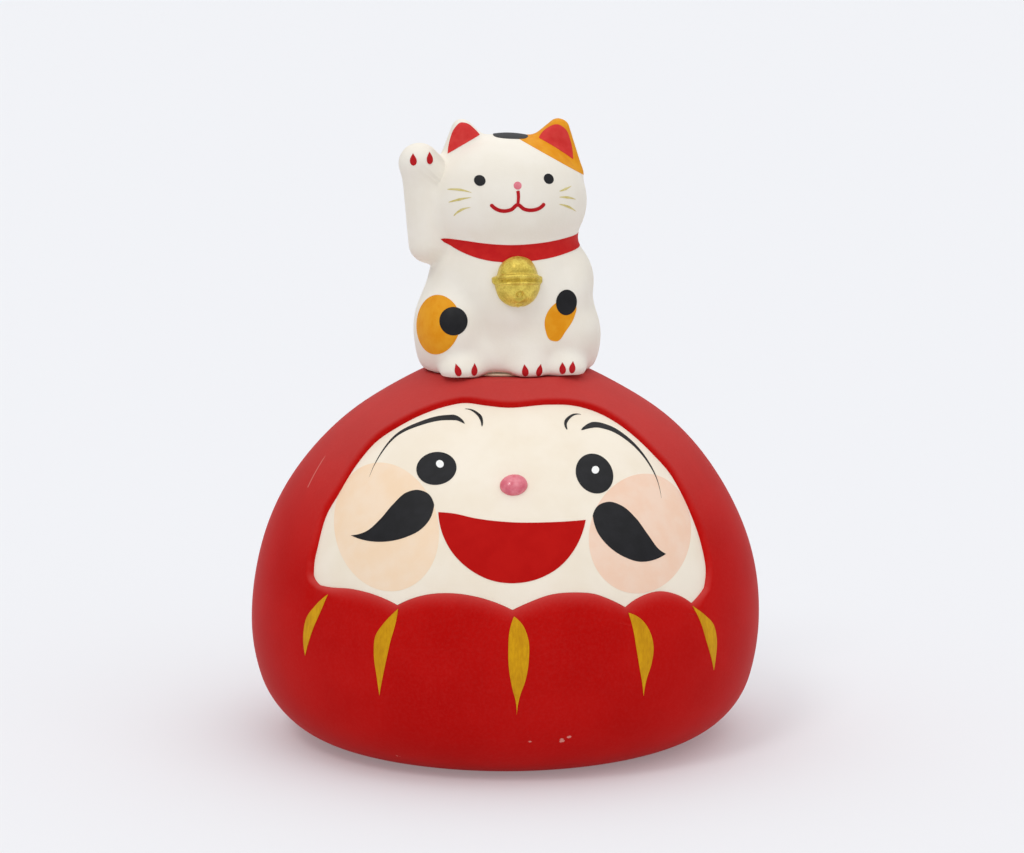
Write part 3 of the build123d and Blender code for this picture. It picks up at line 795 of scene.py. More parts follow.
@dataclass
class DollFace:
    """Everything painted on the doll's face, and the bead of clay that is its nose."""

    form: DollForm
    shell: DollShell
    ground_coat: tuple = (0.0, 0.20)   # underside and top of each coat, over the clay
    wash_coat: tuple = (0.1, 0.235)
    mark_coat: tuple = (0.12, 0.285)
    glint_coat: tuple = (0.15, 0.35)

    def place(self, drawing: Array, height: float) -> Array:
        """Places in space of x, z drawing points, at a height over the face's clay."""
        a, t = self.form.chart(drawing, -self.shell.hood_step)
        return self.form.place(a, t, np.full_like(a, height - self.shell.hood_step))

    def paint(self, node: str, patch: Array, closed: bool, coat: tuple, finish: Finish) -> None:
        """One coat of paint."""
        make_piece(f"paint_{node}", *film(patch, closed, self.place, *coat), finish, "daruma", node)

    def ground(self) -> None:
        """The cream coat, up to the rim all round."""
        outline = self.shell.outline()
        middle = outline.mean(axis=0)
        grown = middle + (outline - middle) * 1.0012
        patch = fan_patch(grown, tuple(middle), 36)
        self.paint("face_ground", patch, True, self.ground_coat, Finish.FACE_CREAM)

    def cheeks(self) -> None:
        """Two thin washes, each a slightly uneven oval."""
        for side, centre, rx, ry, finish in (
            ("left", (-27.9, 56.2), 11.7, 12.8, Finish.CHEEK_PEACH),
            ("right", (28.8, 54.5), 12.0, 12.0, Finish.CHEEK_PINK),
        ):
            self.paint(f"cheek_{side}", oval_patch(centre, rx, ry, 0, 120, 16), True, self.wash_coat, finish)

    def eyes(self) -> None:
        """Two black ovals that lean outwards, each with a white glint."""
        for side, centre, rx, ry, tilt, glint in (
            ("left", (-16.6, 68.9), 4.5, 3.1, 12, (-15.8, 69.8)),
            ("right", (18.6, 67.6), 4.45, 3.65, -30, (18.8, 68.3)),
        ):
            eye, dot = oval_patch(centre, rx, ry, tilt, 64, 8), oval_patch(glint, 0.85, 0.72, 0, 24, 4)
            self.paint(f"eye_{side}", eye, True, self.mark_coat, Finish.INK)
            self.paint(f"eye_glint_{side}", dot, True, self.glint_coat, Finish.GLINT)

    def brows(self) -> None:
        """Four brush lines: a long one over each eye and a short one beside it."""
        lines = {
            "brow_long_left": ([(-10.1, 77.6), (-11.7, 78.5), (-14.1, 78.5), (-20.1, 77.0), (-25.7, 74.2),
                                (-29.3, 70.2), (-31.6, 65.9)], 0.95, 0.10),
            "brow_long_right": ([(16.1, 76.0), (18.7, 76.7), (22.4, 75.9), (26.7, 73.4), (30.8, 69.2),
                                 (33.0, 65.3), (33.9, 61.2)], 1.0, 0.10),
            "brow_short_left": ([(-6.3, 77.2), (-6.5, 78.8), (-7.7, 79.8), (-10.0, 80.3)], 0.72, 0.3),
            "brow_short_right": ([(12.9, 76.3), (12.6, 77.5), (13.8, 78.6), (16.3, 78.8)], 0.72, 0.3),
        }
        for node, (points, widest, swell) in lines.items():
            line = smooth(points, [60])
            patch = ribbon(line, brush_width(len(line), widest, swell, taper=1.1), 5)
            self.paint(node, patch, False, self.mark_coat, Finish.INK)

    def whiskers(self) -> None:
        """Two fat black leaves that come to a point at the outer end."""
        leaves = {
            "left": ([(-35.7, 53.9), (-32.4, 55.1), (-29.3, 57.8), (-26.2, 61.3), (-23.3, 63.8),
                      (-20.6, 64.5), (-18.3, 63.8), (-17.2, 61.8)],
                     [(-35.7, 53.9), (-34.0, 53.5), (-31.6, 53.3), (-28.0, 53.6), (-23.3, 55.0),
                      (-20.2, 56.7), (-18.0, 59.2), (-17.2, 61.8)]),
            "right": ([(34.4, 49.9), (32.9, 51.0), (30.4, 54.3), (27.6, 58.1), (24.4, 60.9), (21.4, 61.9),
                       (18.9, 61.2), (17.8, 59.4)],
                      [(34.4, 49.9), (32.2, 49.2), (28.4, 49.1), (24.7, 50.5), (21.1, 53.1), (18.6, 56.4),
                       (17.8, 59.4)]),
        }
        for side, (upper, lower) in leaves.items():
            patch = between(smooth(upper, [60]), smooth(lower, [60]), 12)
            self.paint(f"whisker_{side}", patch, False, self.mark_coat, Finish.INK)

    def mouth(self) -> None:
        """A laughing mouth: a straight upper edge that sags a little, and a deep round jaw."""
        upper = smooth([(-16.3, 60.4), (-13.0, 60.3), (-8.3, 59.5), (-1.0, 58.8), (8.2, 58.6),
                        (16.2, 58.7)], [96])
        jaw = smooth([(-16.3, 60.4), (-15.6, 56.6), (-13.6, 52.8), (-9.3, 48.9), (-4.5, 46.8), (0.1, 46.3),
                      (5.6, 47.2), (10.3, 49.6), (14.0, 53.6), (16.2, 58.7)], [96])
        self.paint("mouth", between(upper, jaw, 18), False, self.mark_coat, Finish.MOUTH_RED)

    def nose(self) -> None:
        """A bead of clay pressed on: a ball drawn out sideways, a little flat where it sits."""
        centre, turns, levels = (0.4, 66.05), 64, 33
        turn, tilt = np.meshgrid(np.linspace(0, 2 * pi, turns, endpoint=False),
                                 np.linspace(-pi / 2, pi / 2, levels), indexing="ij")
        swell = 1 + 0.04 * np.sin(2 * turn + 0.7)
        across = centre[0] + 3.0 * np.cos(tilt) * np.cos(turn) * swell
        up = centre[1] + 2.05 * np.cos(tilt) * np.sin(turn) * swell
        out = 0.2 + 1.9 * np.sin(tilt) * (np.sin(tilt) > 0) + 0.5 * np.sin(tilt) * (np.sin(tilt) <= 0)
        chart_a, chart_t = self.form.chart(np.stack([across, up], axis=-1), -self.shell.hood_step)
        points = self.form.place(chart_a, chart_t, out - self.shell.hood_step)
        make_piece("nose_bead_clay", points, grid_quads(turns, levels, True, False), Finish.NOSE_PINK,
                   "daruma", "nose_bead")

    def build(self) -> None:
        """Paints the face from the ground up."""
        self.ground()
        self.cheeks()
        self.eyes()
        self.brows()
        self.whiskers()
        self.mouth()
        self.nose()


@dataclass
class RobePleats:
    """Five gilt brush marks, one below each notch of the robe."""

    form: DollForm
    shell: DollShell
    coat: tuple = (-0.15, 0.08)   # underside and top, over the robe

    def place(self, drawing: Array, height: float) -> Array:
        """Places in space of x, z drawing points, at a height over the robe."""
        a, t = self.form.chart(drawing, 0.0)
        return self.form.place(a, t, self.shell.relief(a, t) + height)

    def build(self) -> None:
        """Each mark lies between two edges that meet at its upper and its lower tip."""
        marks = [
            ([(-41.0, 41.2), (-43.6, 38.6), (-45.9, 35.2), (-46.7, 31.5), (-46.4, 26.4)],
             [(-41.0, 41.2), (-42.6, 37.4), (-44.4, 33.2), (-45.7, 29.2), (-46.4, 26.4)]),
            ([(-25.5, 40.2), (-28.2, 37.2), (-30.4, 33.8), (-30.8, 29.4), (-30.2, 24.6), (-29.6, 20.3)],
             [(-25.5, 40.2), (-26.0, 37.0), (-27.1, 33.0), (-28.0, 29.0), (-29.0, 24.0), (-29.6, 20.3)]),
            ([(0.0, 39.6), (-0.9, 37.0), (-1.3, 32.5), (-1.2, 28.6), (-0.4, 23.6), (0.35, 20.6), (0.6, 17.4)],
             [(0.0, 39.6), (1.7, 38.0), (3.0, 35.0), (3.2, 30.2), (2.5, 25.6), (1.2, 21.6), (0.6, 17.4)]),
            ([(25.6, 39.0), (26.6, 34.8), (27.2, 31.2), (27.9, 27.0), (28.6, 23.0), (29.0, 19.8)],
             [(25.6, 39.0), (28.2, 37.4), (30.3, 34.4), (31.2, 30.6), (30.7, 27.0), (29.6, 23.6),
              (29.0, 19.8)]),
            ([(40.9, 38.2), (42.6, 34.2), (43.9, 29.8), (45.1, 25.6), (45.8, 22.4)],
             [(40.9, 38.2), (43.4, 35.8), (45.6, 33.2), (46.5, 29.6), (46.3, 25.8), (45.8, 22.4)]),
        ]
        for number, (left, right) in enumerate(marks, 1):
            patch = between(smooth(left, [60]), smooth(right, [60]), 9)
            make_piece(f"pleat_mark_{number}", *film(patch, False, self.place, *self.coat), Finish.PLEAT_GILT,
                       "daruma", f"robe_pleat_{number}")


# ------------------------------------------------------------------------------ the cat
def egg_field(p: Array, centre: Sequence[float], radii: Sequence[float]) -> Array:
    """About the distance to an egg: k (k - 1) / m, where k is the length of the scaled offset
    from its centre and m the length of that offset scaled once more."""
    q = (p - np.array(centre)) / np.array(radii)
    k = np.linalg.norm(q, axis=-1)
    m = np.linalg.norm(q / np.array(radii), axis=-1)
    return k * (k - 1) / np.maximum(m, 1e-9)


def limb_field(p: Array, start: Sequence[float], end: Sequence[float], r_start: float, r_end: float) -> Array:
    """About the distance to a round limb whose radius goes evenly from one end to the other."""
    a, b = np.array(start, float), np.array(end, float)
    along = b - a
    u = np.clip(((p - a) @ along) / (along @ along), 0, 1)
    return np.linalg.norm(p - a - u[..., None] * along, axis=-1) - (r_start + (r_end - r_start) * u)


def melt(a: Array, b: Array, width: float) -> Array:
    """Joins two fields with a fillet: the lesser of them, less w h (1 - h) where they are near."""
    h = np.clip(0.5 + 0.5 * (b - a) / width, 0, 1)
    return b * (1 - h) + a * h - width * h * (1 - h)


def wedge_field(p: Array, corners: Sequence[tuple[float, float]], y_middle: float, half: float,
                rounding: float) -> Array:
    """Distance to a flat triangle with rounded edges, drawn as x and z: the distance in the
    drawing and the distance in y taken together, less the rounding."""
    q = p[..., [0, 2]]
    inside = np.full(q.shape[:-1], np.inf)
    nearest = np.full(q.shape[:-1], np.inf)
    points = [np.array(c, float) for c in corners]
    area = np.cross(points[1] - points[0], points[2] - points[0])
    for a, b in zip(points, points[1:] + points[:1]):
        edge, w = b - a, q - a
        gap = w - edge * np.clip((w @ edge) / (edge @ edge), 0, 1)[..., None]
        nearest = np.minimum(nearest, (gap**2).sum(axis=-1))
        inside = np.minimum(inside, np.sign(area) * (edge[0] * w[..., 1] - edge[1] * w[..., 0]))
    flat = -np.sqrt(nearest) * np.sign(inside)
    depth = np.abs(p[..., 1] - y_middle) - half
    both = np.hypot(np.maximum(flat, 0), np.maximum(depth, 0))
    return both + np.minimum(np.maximum(flat, depth), 0) - rounding


@dataclass
class CatForm:
    """The cat's clay as one field: negative inside, and zero on its surface."""

    axis_y: float = 0.3                  # the surface is looked for from a line up the middle
    look_high: float = 29.0              # highest and lowest places on it to look from
    look_low: float = 2.6
    head: tuple = ((0.3, 0.3, 39.4), (18.7, 16.0, 15.6))
    chest: tuple = ((1.0, 0.5, 18.0), (19.4, 16.2, 20.0))
    haunches: tuple = (((-12.9, -1.2, 9.8), (8.8, 13.6, 12.4)), ((12.7, -1.0, 8.2), (9.4, 13.6, 11.4)))
    shoulder: tuple = ((12.6, 0.0, 21.5), (7.5, 11.0, 7.2))
    ears: tuple = (((-10.1, 55.9), (-14.2, 45.5), (-5.0, 51.0)), ((12.5, 55.8), (15.6, 46.0), (6.5, 51.0)))
    ear_y: float = 0.4
    ear_half: float = 0.8                # half the thickness of an ear, inside its rounding
    ear_round: float = 2.4
    base: tuple = ((0.3, 0.2, 3.4), (19.2, 15.4, 9.2))
    feet: tuple = ((-11.9, -12.3, 0.9), (3.2, -12.7, 0.9), (11.8, -12.1, 1.1))
    foot_radii: tuple = (5.2, 4.9, 4.3)
    foreleg: tuple = ((12.6, -8.2, 18.0), (4.6, -11.6, 5.0), 4.4, 4.0)
    arm_y: float = -1.6
    arm_radii: tuple = (4.6, 4.2)
    arm_deep: float = 1.12               # how much deeper than wide the arm is
    elbow: tuple = (-18.3, 29.8)
    wrist: tuple = (-19.9, 43.6)
    paw: tuple = ((-20.4, -2.2, 48.4), (4.8, 5.0, 4.7))
    arch_x: float = -3.3                 # the foot is lifted a little between two feet
    arch_half: float = 3.2
    arch_height: float = 0.7
    neck_fillet: float = 3.2             # how widely the clay is filled in where two forms meet
    limb_fillet: float = 2.2
    wide_fillet: float = 4.0
    ear_fillet: float = 1.8
    paw_fillet: float = 2.0
    arm_fillet: float = 2.4
    sole_fillet: float = 1.6
    stride: float = 0.75                 # share of the distance that one step to the clay takes
    reach: float = 90.0                  # a walk to the clay ends here at the latest

    def core(self, p: Array) -> Array:
        """Head, chest, the shoulder without an arm, and haunches."""
        body = melt(egg_field(p, *self.head), egg_field(p, *self.chest), self.neck_fillet)
        for egg in (self.shoulder, *self.haunches):
            body = melt(body, egg_field(p, *egg), self.limb_fillet)
        return melt(body, egg_field(p, *self.base), self.wide_fillet)

    def whole(self, p: Array) -> Array:
        """All of the clay, cut off at the foot."""
        body = self.core(p)
        for corners in self.ears:
            ear = wedge_field(p, corners, self.ear_y, self.ear_half, self.ear_round)
            body = melt(body, ear, self.ear_fillet)
        squeezed = p * np.array((1.0, 1 / self.arm_deep, 1.0))
        y = self.arm_y / self.arm_deep
        elbow, wrist = (self.elbow[0], y, self.elbow[1]), (self.wrist[0], y, self.wrist[1])
        arm = limb_field(squeezed, elbow, wrist, *self.arm_radii)
        body = melt(body, melt(arm, egg_field(p, *self.paw), self.paw_fillet), self.arm_fillet)
        body = melt(body, limb_field(p, *self.foreleg), self.wide_fillet)
        for foot in self.feet:
            body = melt(body, egg_field(p, foot, self.foot_radii), self.limb_fillet)
        arch = self.arch_height * np.exp(-(((p[..., 0] - self.arch_x) / self.arch_half) ** 4))
        arch = arch * (p[..., 1] < 0)
        return -melt(-body, p[..., 2] - arch, self.sole_fillet)

    def march(self, start: Array, direction: Array, steps: int = 90) -> Array:
        """Walks from outside along directions to the surface, each step a share of the field.

        Args:
            start: points outside the clay.
            direction: unit vectors towards it.
            steps: how many steps to take.

        Returns:
            The points on the surface.
        """
        gone = np.zeros(start.shape[:-1])
        for _ in range(steps):
            gap = self.whole(start + direction * gone[..., None])
            gone = np.minimum(gone + self.stride * gap, self.reach)
        return start + direction * gone[..., None]

    def outward(self, p: Array) -> Array:
        """Unit vectors away from the clay: the field's slope, from places a little to each side."""
        steps = np.eye(3) * 0.02
        slope = np.stack([self.whole(p + step) - self.whole(p - step) for step in steps], axis=-1)
        return slope / np.maximum(np.linalg.norm(slope, axis=-1), 1e-9)[..., None]

    def coated(self, clay: Array, height: float) -> Array:
        """Places in the model's frame at a height over places on the clay."""
        return self.seated(clay + self.outward(clay) * height)

    @staticmethod
    def seated(p: Array) -> Array:
        """Turns points of the cat's own frame into the model's frame."""
        c, s = cos(CAT_TURN), sin(CAT_TURN)
        x, y, z = p[..., 0], p[..., 1], p[..., 2]
        return np.stack([c * x - s * y, s * x + c * y, z + SEAT_Z], axis=-1)


@dataclass
class CatPaint:
    """Paint on the cat, each mark drawn in a view from one side and laid on the clay."""

    form: CatForm
    azimuth: float = 0.0          # degrees to the right of the front that the mark is drawn from
    from_above: bool = False
    low: float = -0.12            # the paint's underside, a little inside the clay

    def place(self, drawing: Array, height: float) -> Array:
        """Places in space of drawing points, at a height over the clay.

        The drawing is across and up in the view, and a line of sight through each point is
        followed to the clay. From above, the drawing is x and y.
        """
        if self.from_above:
            over = np.full(drawing.shape[:-1], 75.0)
            start = np.stack([drawing[..., 0], drawing[..., 1], over], axis=-1)
            sight = np.broadcast_to(np.array((0.0, 0.0, -1.0)), start.shape)
        else:
            c, s = cos(radians(self.azimuth)), sin(radians(self.azimuth))
            across, up = drawing[..., 0], drawing[..., 1]
            start = np.stack([across * c + 40 * s, across * s - 40 * c, up], axis=-1)
            sight = np.broadcast_to(np.array((-s, c, 0.0)), start.shape)
        return self.form.coated(self.form.march(start, sight), height)

    def mark(self, name: str, node: str, patch: Array, finish: Finish, top: float = 0.07) -> None:
        """One filled mark of paint that stands for a node."""
        make_piece(name, *film(patch, True, self.place, self.low, top), finish, "cat", node)


@dataclass
class CatFigure:
    """The white clay figure and the clay disc that closes its foot."""

    form: CatForm
    turns: int = 420
    rows: tuple = (112, 66, 46)   # above the highest place to look from, beside the line, below it
    seal_r: float = 15.0
    seal_y: float = 0.2
    seal_lap: float = 0.9         # how far the foot laps over the seal's edge
    seal_bevel: float = 0.6
    seal_recess: float = 0.55

    def shell(self) -> None:
        """The figure's surface, looked for from a line up its middle.

        Rows of sights fan out from straight up to level, stay level while the place they start
        from sinks down the line, and then fan out again to straight down. Each one is followed
        back from outside to the clay. The middle of the foot is pressed in for the seal.
        """
        form = self.form
        above, beside, below = self.rows
        lean = np.concatenate([np.linspace(0, pi / 2, above), np.full(beside - 1, pi / 2),
                               np.linspace(pi / 2, pi, below)[1:]])
        level = np.concatenate([np.full(above, form.look_high),
                                np.linspace(form.look_high, form.look_low, beside)[1:],
                                np.full(below - 1, form.look_low)])
        around = np.linspace(0, 2 * pi, self.turns, endpoint=False)[:, None]
        across = np.sin(lean)[None, :]
        sight = np.stack([across * np.sin(around), -across * np.cos(around), np.cos(lean) + 0 * around],
                         axis=-1)
        none = np.zeros(sight.shape[:-1])
        middle = np.stack([none, none + form.axis_y, none + level], axis=-1)
        points = form.march(middle + sight * OUTSIDE, -sight)
        inward = self.seal_r - self.seal_lap - np.hypot(points[..., 0], points[..., 1] - self.seal_y)
        pressed = self.seal_recess * np.clip(inward / self.seal_bevel, 0, 1)
        z = points[..., 2]
        points[..., 2] = np.where(z < 1.0, np.maximum(z, pressed), z)
        make_piece("cat_clay", form.seated(points), grid_quads(self.turns, len(lean), True, False),
                   Finish.CAT_WHITE, "cat", "cat_shell")

    def seal(self) -> None:
        """A turned disc with a rounded lower edge and a vent, which shows under the foot."""
        profile = np.array([
            (2.5, 0.5), (2.5, 0.2), (2.7, 0.0), (8.0, 0.0), (self.seal_r - 0.4, 0.0),
            (self.seal_r - 0.1, 0.12),
            (self.seal_r, 0.4), (self.seal_r - 0.3, 0.62), (self.seal_r - 2.0, 0.7), (8.0, 0.7), (2.5, 0.7),
        ])
        turns = 96
        turn = np.linspace(0, 2 * pi, turns, endpoint=False)[:, None]
        r, z = profile[None, :, 0], profile[None, :, 1]
        points = np.stack([r * np.sin(turn), self.seal_y - r * 0.985 * np.cos(turn), z + 0 * turn], axis=-1)
        make_piece("cat_seal_disc", self.form.seated(points), grid_quads(turns, len(profile), True, True),
                   Finish.CLAY, "cat", "cat_foot_seal")

    def build(self) -> None:
        """Makes both pieces."""
        self.shell()
        self.seal()


@dataclass
class CatBell:
    """The bell in relief on the cat's chest."""

    form: CatForm
    centre: tuple = (0.6, 22.0)
    radius: float = 5.25
    out: float = 3.7              # how far it stands out of the chest
    turns: int = 160
    levels: int = 121

    def build(self) -> None:
        """A squarish ball whose radius swells to a band, and to a lug at each end of the band.

        It is less above the band, where the dome has a dimple. A ring lies below the band, and a
        round hole and a slot are pressed into the lower half. The band is tipped up in front,
        because the bell leans back on the chest."""
        x, z = self.centre
        chest = self.form.march(np.array((x, -40.0, z)), np.array((0.0, 1.0, 0.0)))
        tilt, turn = np.meshgrid(np.linspace(-pi / 2, pi / 2, self.levels),
                                 np.linspace(0, 2 * pi, self.turns, endpoint=False))
        up = np.sin(tilt)
        ball = np.stack([np.cos(tilt) * np.sin(turn), -np.cos(tilt) * np.cos(turn), up], axis=-1)
        side, front = np.abs(ball[..., 0]), ball[..., 1] < 0
        tipped = up + 0.14 * np.minimum(ball[..., 1], 0)
        middle = np.clip((0.98 - side) / 0.16, 0, 1)
        square = 0.20 * np.sin(2 * tilt) ** 2
        cap = -0.40 * np.clip((tipped - 0.14) / 0.12, 0, 1) * np.clip((1.25 - tipped) / 0.8, 0, 1)
        band = (0.10 + 0.26 * middle) * np.exp(-(((tipped - 0.17) / 0.085) ** 4))
        lug = 0.58 * np.clip((side - 0.90) / 0.08, 0, 1) * np.exp(-(((up - 0.06) / 0.14) ** 4))
        ring = 0.30 * middle * np.exp(-(((tipped + 0.12) / 0.05) ** 2))
        groove = -0.42 * middle * np.exp(-(((tipped + 0.01) / 0.045) ** 2))
        from_hole = np.hypot(ball[..., 0] / 0.13, (up + 0.48) / 0.12)
        hole = -0.55 * np.exp(-(((from_hole - 1) / 0.4) ** 2)) * front
        slot = -0.50 * np.exp(-((ball[..., 0] / 0.16) ** 4 + ((up + 0.84) / 0.04) ** 2)) * front
        dimple = -0.32 * np.exp(-((ball[..., 0] / 0.25) ** 2 + ((tipped - 0.34) / 0.06) ** 2)) * front
        lumps = 0.05 * np.sin(7 * turn + 5 * up) + 0.04 * np.sin(11 * up + 3 * turn)
        relief = square + cap + band + lug + ring + groove + hole + slot + dimple + lumps
        size = self.radius + relief
        stretch = np.array((1.0, 0.88, 1.12))
        sunk = np.array((0.0, self.radius * 0.86 - self.out, 0.0))
        points = ball * size[..., None] * stretch + chest + sunk
        make_piece("bell_relief", self.form.seated(points), grid_quads(self.turns, self.levels, True, False),
                   Finish.BELL_GILT, "cat", "cat_bell")


@dataclass
class CatFace:
    """Eyes, nose, mouth, whiskers, ear linings, and the patches on ear and crown."""

    form: CatForm

    def eyes_and_nose(self) -> None:
        """Two dark ovals and a pink dot."""
        front = CatPaint(self.form)
        for name, centre, rx, ry, tilt, finish in (
            ("cat_eye_left", (-7.8, 45.1), 1.25, 1.2, 0, Finish.INK),
            ("cat_eye_right", (8.1, 45.3), 1.25, 1.1, -30, Finish.INK),
            ("cat_nose", (0.6, 44.0), 0.92, 0.88, 0, Finish.NOSE_PINK),
        ):
            front.mark(f"{name}_dot", name, oval_patch(centre, rx, ry, tilt, 40, 6), finish)

    def mouth(self) -> None:
        """A short line down from the nose, and a smile in two bows."""
        smile = smooth([(-5.6, 39.9), (-4.6, 38.9), (-2.9, 38.3), (-1.0, 38.6), (0.5, 39.7), (2.0, 38.7),
                        (4.0, 38.4), (5.8, 38.9), (6.9, 39.9)], [100])
        drop = smooth([(0.6, 42.9), (0.7, 41.5), (0.5, 39.8)], [24])
        front = CatPaint(self.form)
        tips = np.minimum(np.arange(101), 100 - np.arange(101)) / 3
        bows = ribbon(smile, 0.42 * np.sqrt(1 - (1 - np.clip(tips, 0, 1)) ** 2), 5)
        width = np.linspace(0.40, 0.32, len(drop))
        width[[0, -1]] = 0.0
        sheets = [film(bows, False, front.place, -0.12, 0.08),
                  film(ribbon(drop, width, 5), False, front.place, -0.11, 0.09)]
        make_piece("cat_smile", *join(sheets), Finish.CLAW_RED, "cat", "cat_mouth")

    def whiskers(self) -> None:
        """Three pale lines on each cheek."""
        lines = {
            "left": [[(-14.8, 42.8), (-12.2, 42.9), (-9.6, 42.3)],
                     [(-14.6, 39.9), (-12.0, 40.8), (-9.7, 41.3)],
                     [(-13.5, 36.8), (-12.0, 38.3), (-9.9, 39.0)]],
            "right": [[(10.6, 42.4), (12.2, 42.8), (13.9, 43.4)], [(10.5, 41.1), (12.6, 40.9), (15.0, 40.2)],
                      [(10.5, 39.5), (12.7, 38.8), (15.1, 37.4)]],
        }
        front = CatPaint(self.form)
        for side, marks in lines.items():
            patches = [ribbon(smooth(mark, [30]), brush_width(31, 0.55, 0.5), 4) for mark in marks]
            sheets = [film(patch, False, front.place, -0.1, 0.05) for patch in patches]
            make_piece(f"cat_whisker_lines_{side}", *join(sheets), Finish.OCHRE, "cat",
                       f"cat_whiskers_{side}")

    def ear_linings(self) -> None:
        """A red triangle with soft corners in each ear."""
        front = CatPaint(self.form, azimuth=VIEW_SIDE)
        for side, edges in (
            ("left", ([(-6.0, 54.8), (-7.1, 56.0), (-8.9, 57.4), (-10.3, 57.6), (-11.7, 56.3), (-12.8, 53.6),
                       (-13.3, 50.6)], [(-13.3, 50.6), (-10.0, 52.5), (-6.0, 54.8)])),
            ("right", ([(7.7, 54.0), (9.6, 56.1), (12.2, 57.0), (13.7, 56.1), (15.0, 53.2), (15.6, 49.0)],
                       [(15.6, 49.0), (11.8, 51.6), (7.7, 54.0)])),
        ):
            outline = np.vstack([smooth(edge, [n])[:-1] for edge, n in zip(edges, (66, 30))])
            middle = tuple(outline.mean(axis=0))
            front.mark(f"ear_lining_{side}", f"ear_red_{side}", fan_patch(outline, middle, 12),
                       Finish.EAR_RED, top=0.13)

    def ear_patch(self) -> None:
        """Orange over the right ear and the side of the head, down to a slanting line.

        Seen from the middle, each direction is the ear's own direction turned away by an angle
        q round a compass p; the coat ends where the clay crosses the slanting plane.
        """
        middle = np.array((0.0, self.form.axis_y, self.form.look_high))
        ear = np.array((12.4, -0.4, 54.0)) - middle
        ear /= np.linalg.norm(ear)
        east = np.cross(ear, (0.0, 1.0, 0.0))
        east /= np.linalg.norm(east)
        north = np.cross(ear, east)
        level = np.array((0.49, -0.03, 0.87))
        edge = float(level @ np.array((17.9, -12.0, 45.0)))
        count = 160
        compass = np.linspace(0, 2 * pi, count, endpoint=False)

        def clay(q: Array) -> Array:
            """The clay in the direction that is q away from the ear's, for each compass point."""
            p = compass.reshape((-1,) + (1,) * (q.ndim - 1))
            sight = (np.cos(q)[..., None] * ear
                     + np.sin(q)[..., None] * (np.cos(p)[..., None] * east + np.sin(p)[..., None] * north))
            return self.form.march(middle + sight * OUTSIDE, -sight, 70)

        low, high = np.zeros(count), np.full(count, 1.25)
        for _ in range(18):
            half = (low + high) / 2
            above = clay(half) @ level > edge
            low, high = np.where(above, half, low), np.where(above, high, half)
        spread = low[:, None] * np.linspace(1, 0, 48)[None, :]
        surface = clay(spread)
        top, under = self.form.coated(surface, 0.06), self.form.coated(surface, -0.10)
        sheet = np.concatenate([top[:, ::-1], under], axis=1)
        make_piece("ear_patch_coat", sheet, grid_quads(count, sheet.shape[1], True, False), Finish.ORANGE,
                   "cat", "ear_patch")

    def crown_patch(self) -> None:
        """A black oval on the crown, between the ears."""
        top = CatPaint(self.form, from_above=True)
        outline = smooth([(-2.5, -3.8), (-0.8, -5.0), (1.2, -5.3), (3.6, -4.8), (4.8, -2.8), (4.5, 1.0),
                          (2.4, 4.2), (-0.8, 4.2), (-2.8, 0.6)], [72], closed=True)
        top.mark("crown_patch_coat", "crown_patch", fan_patch(outline, (0.4, -1.2), 14), Finish.INK, top=0.10)

    def build(self) -> None:
        """Paints the head."""
        self.eyes_and_nose()
        self.mouth()
        self.whiskers()
        self.ear_linings()
        self.ear_patch()
        self.crown_patch()


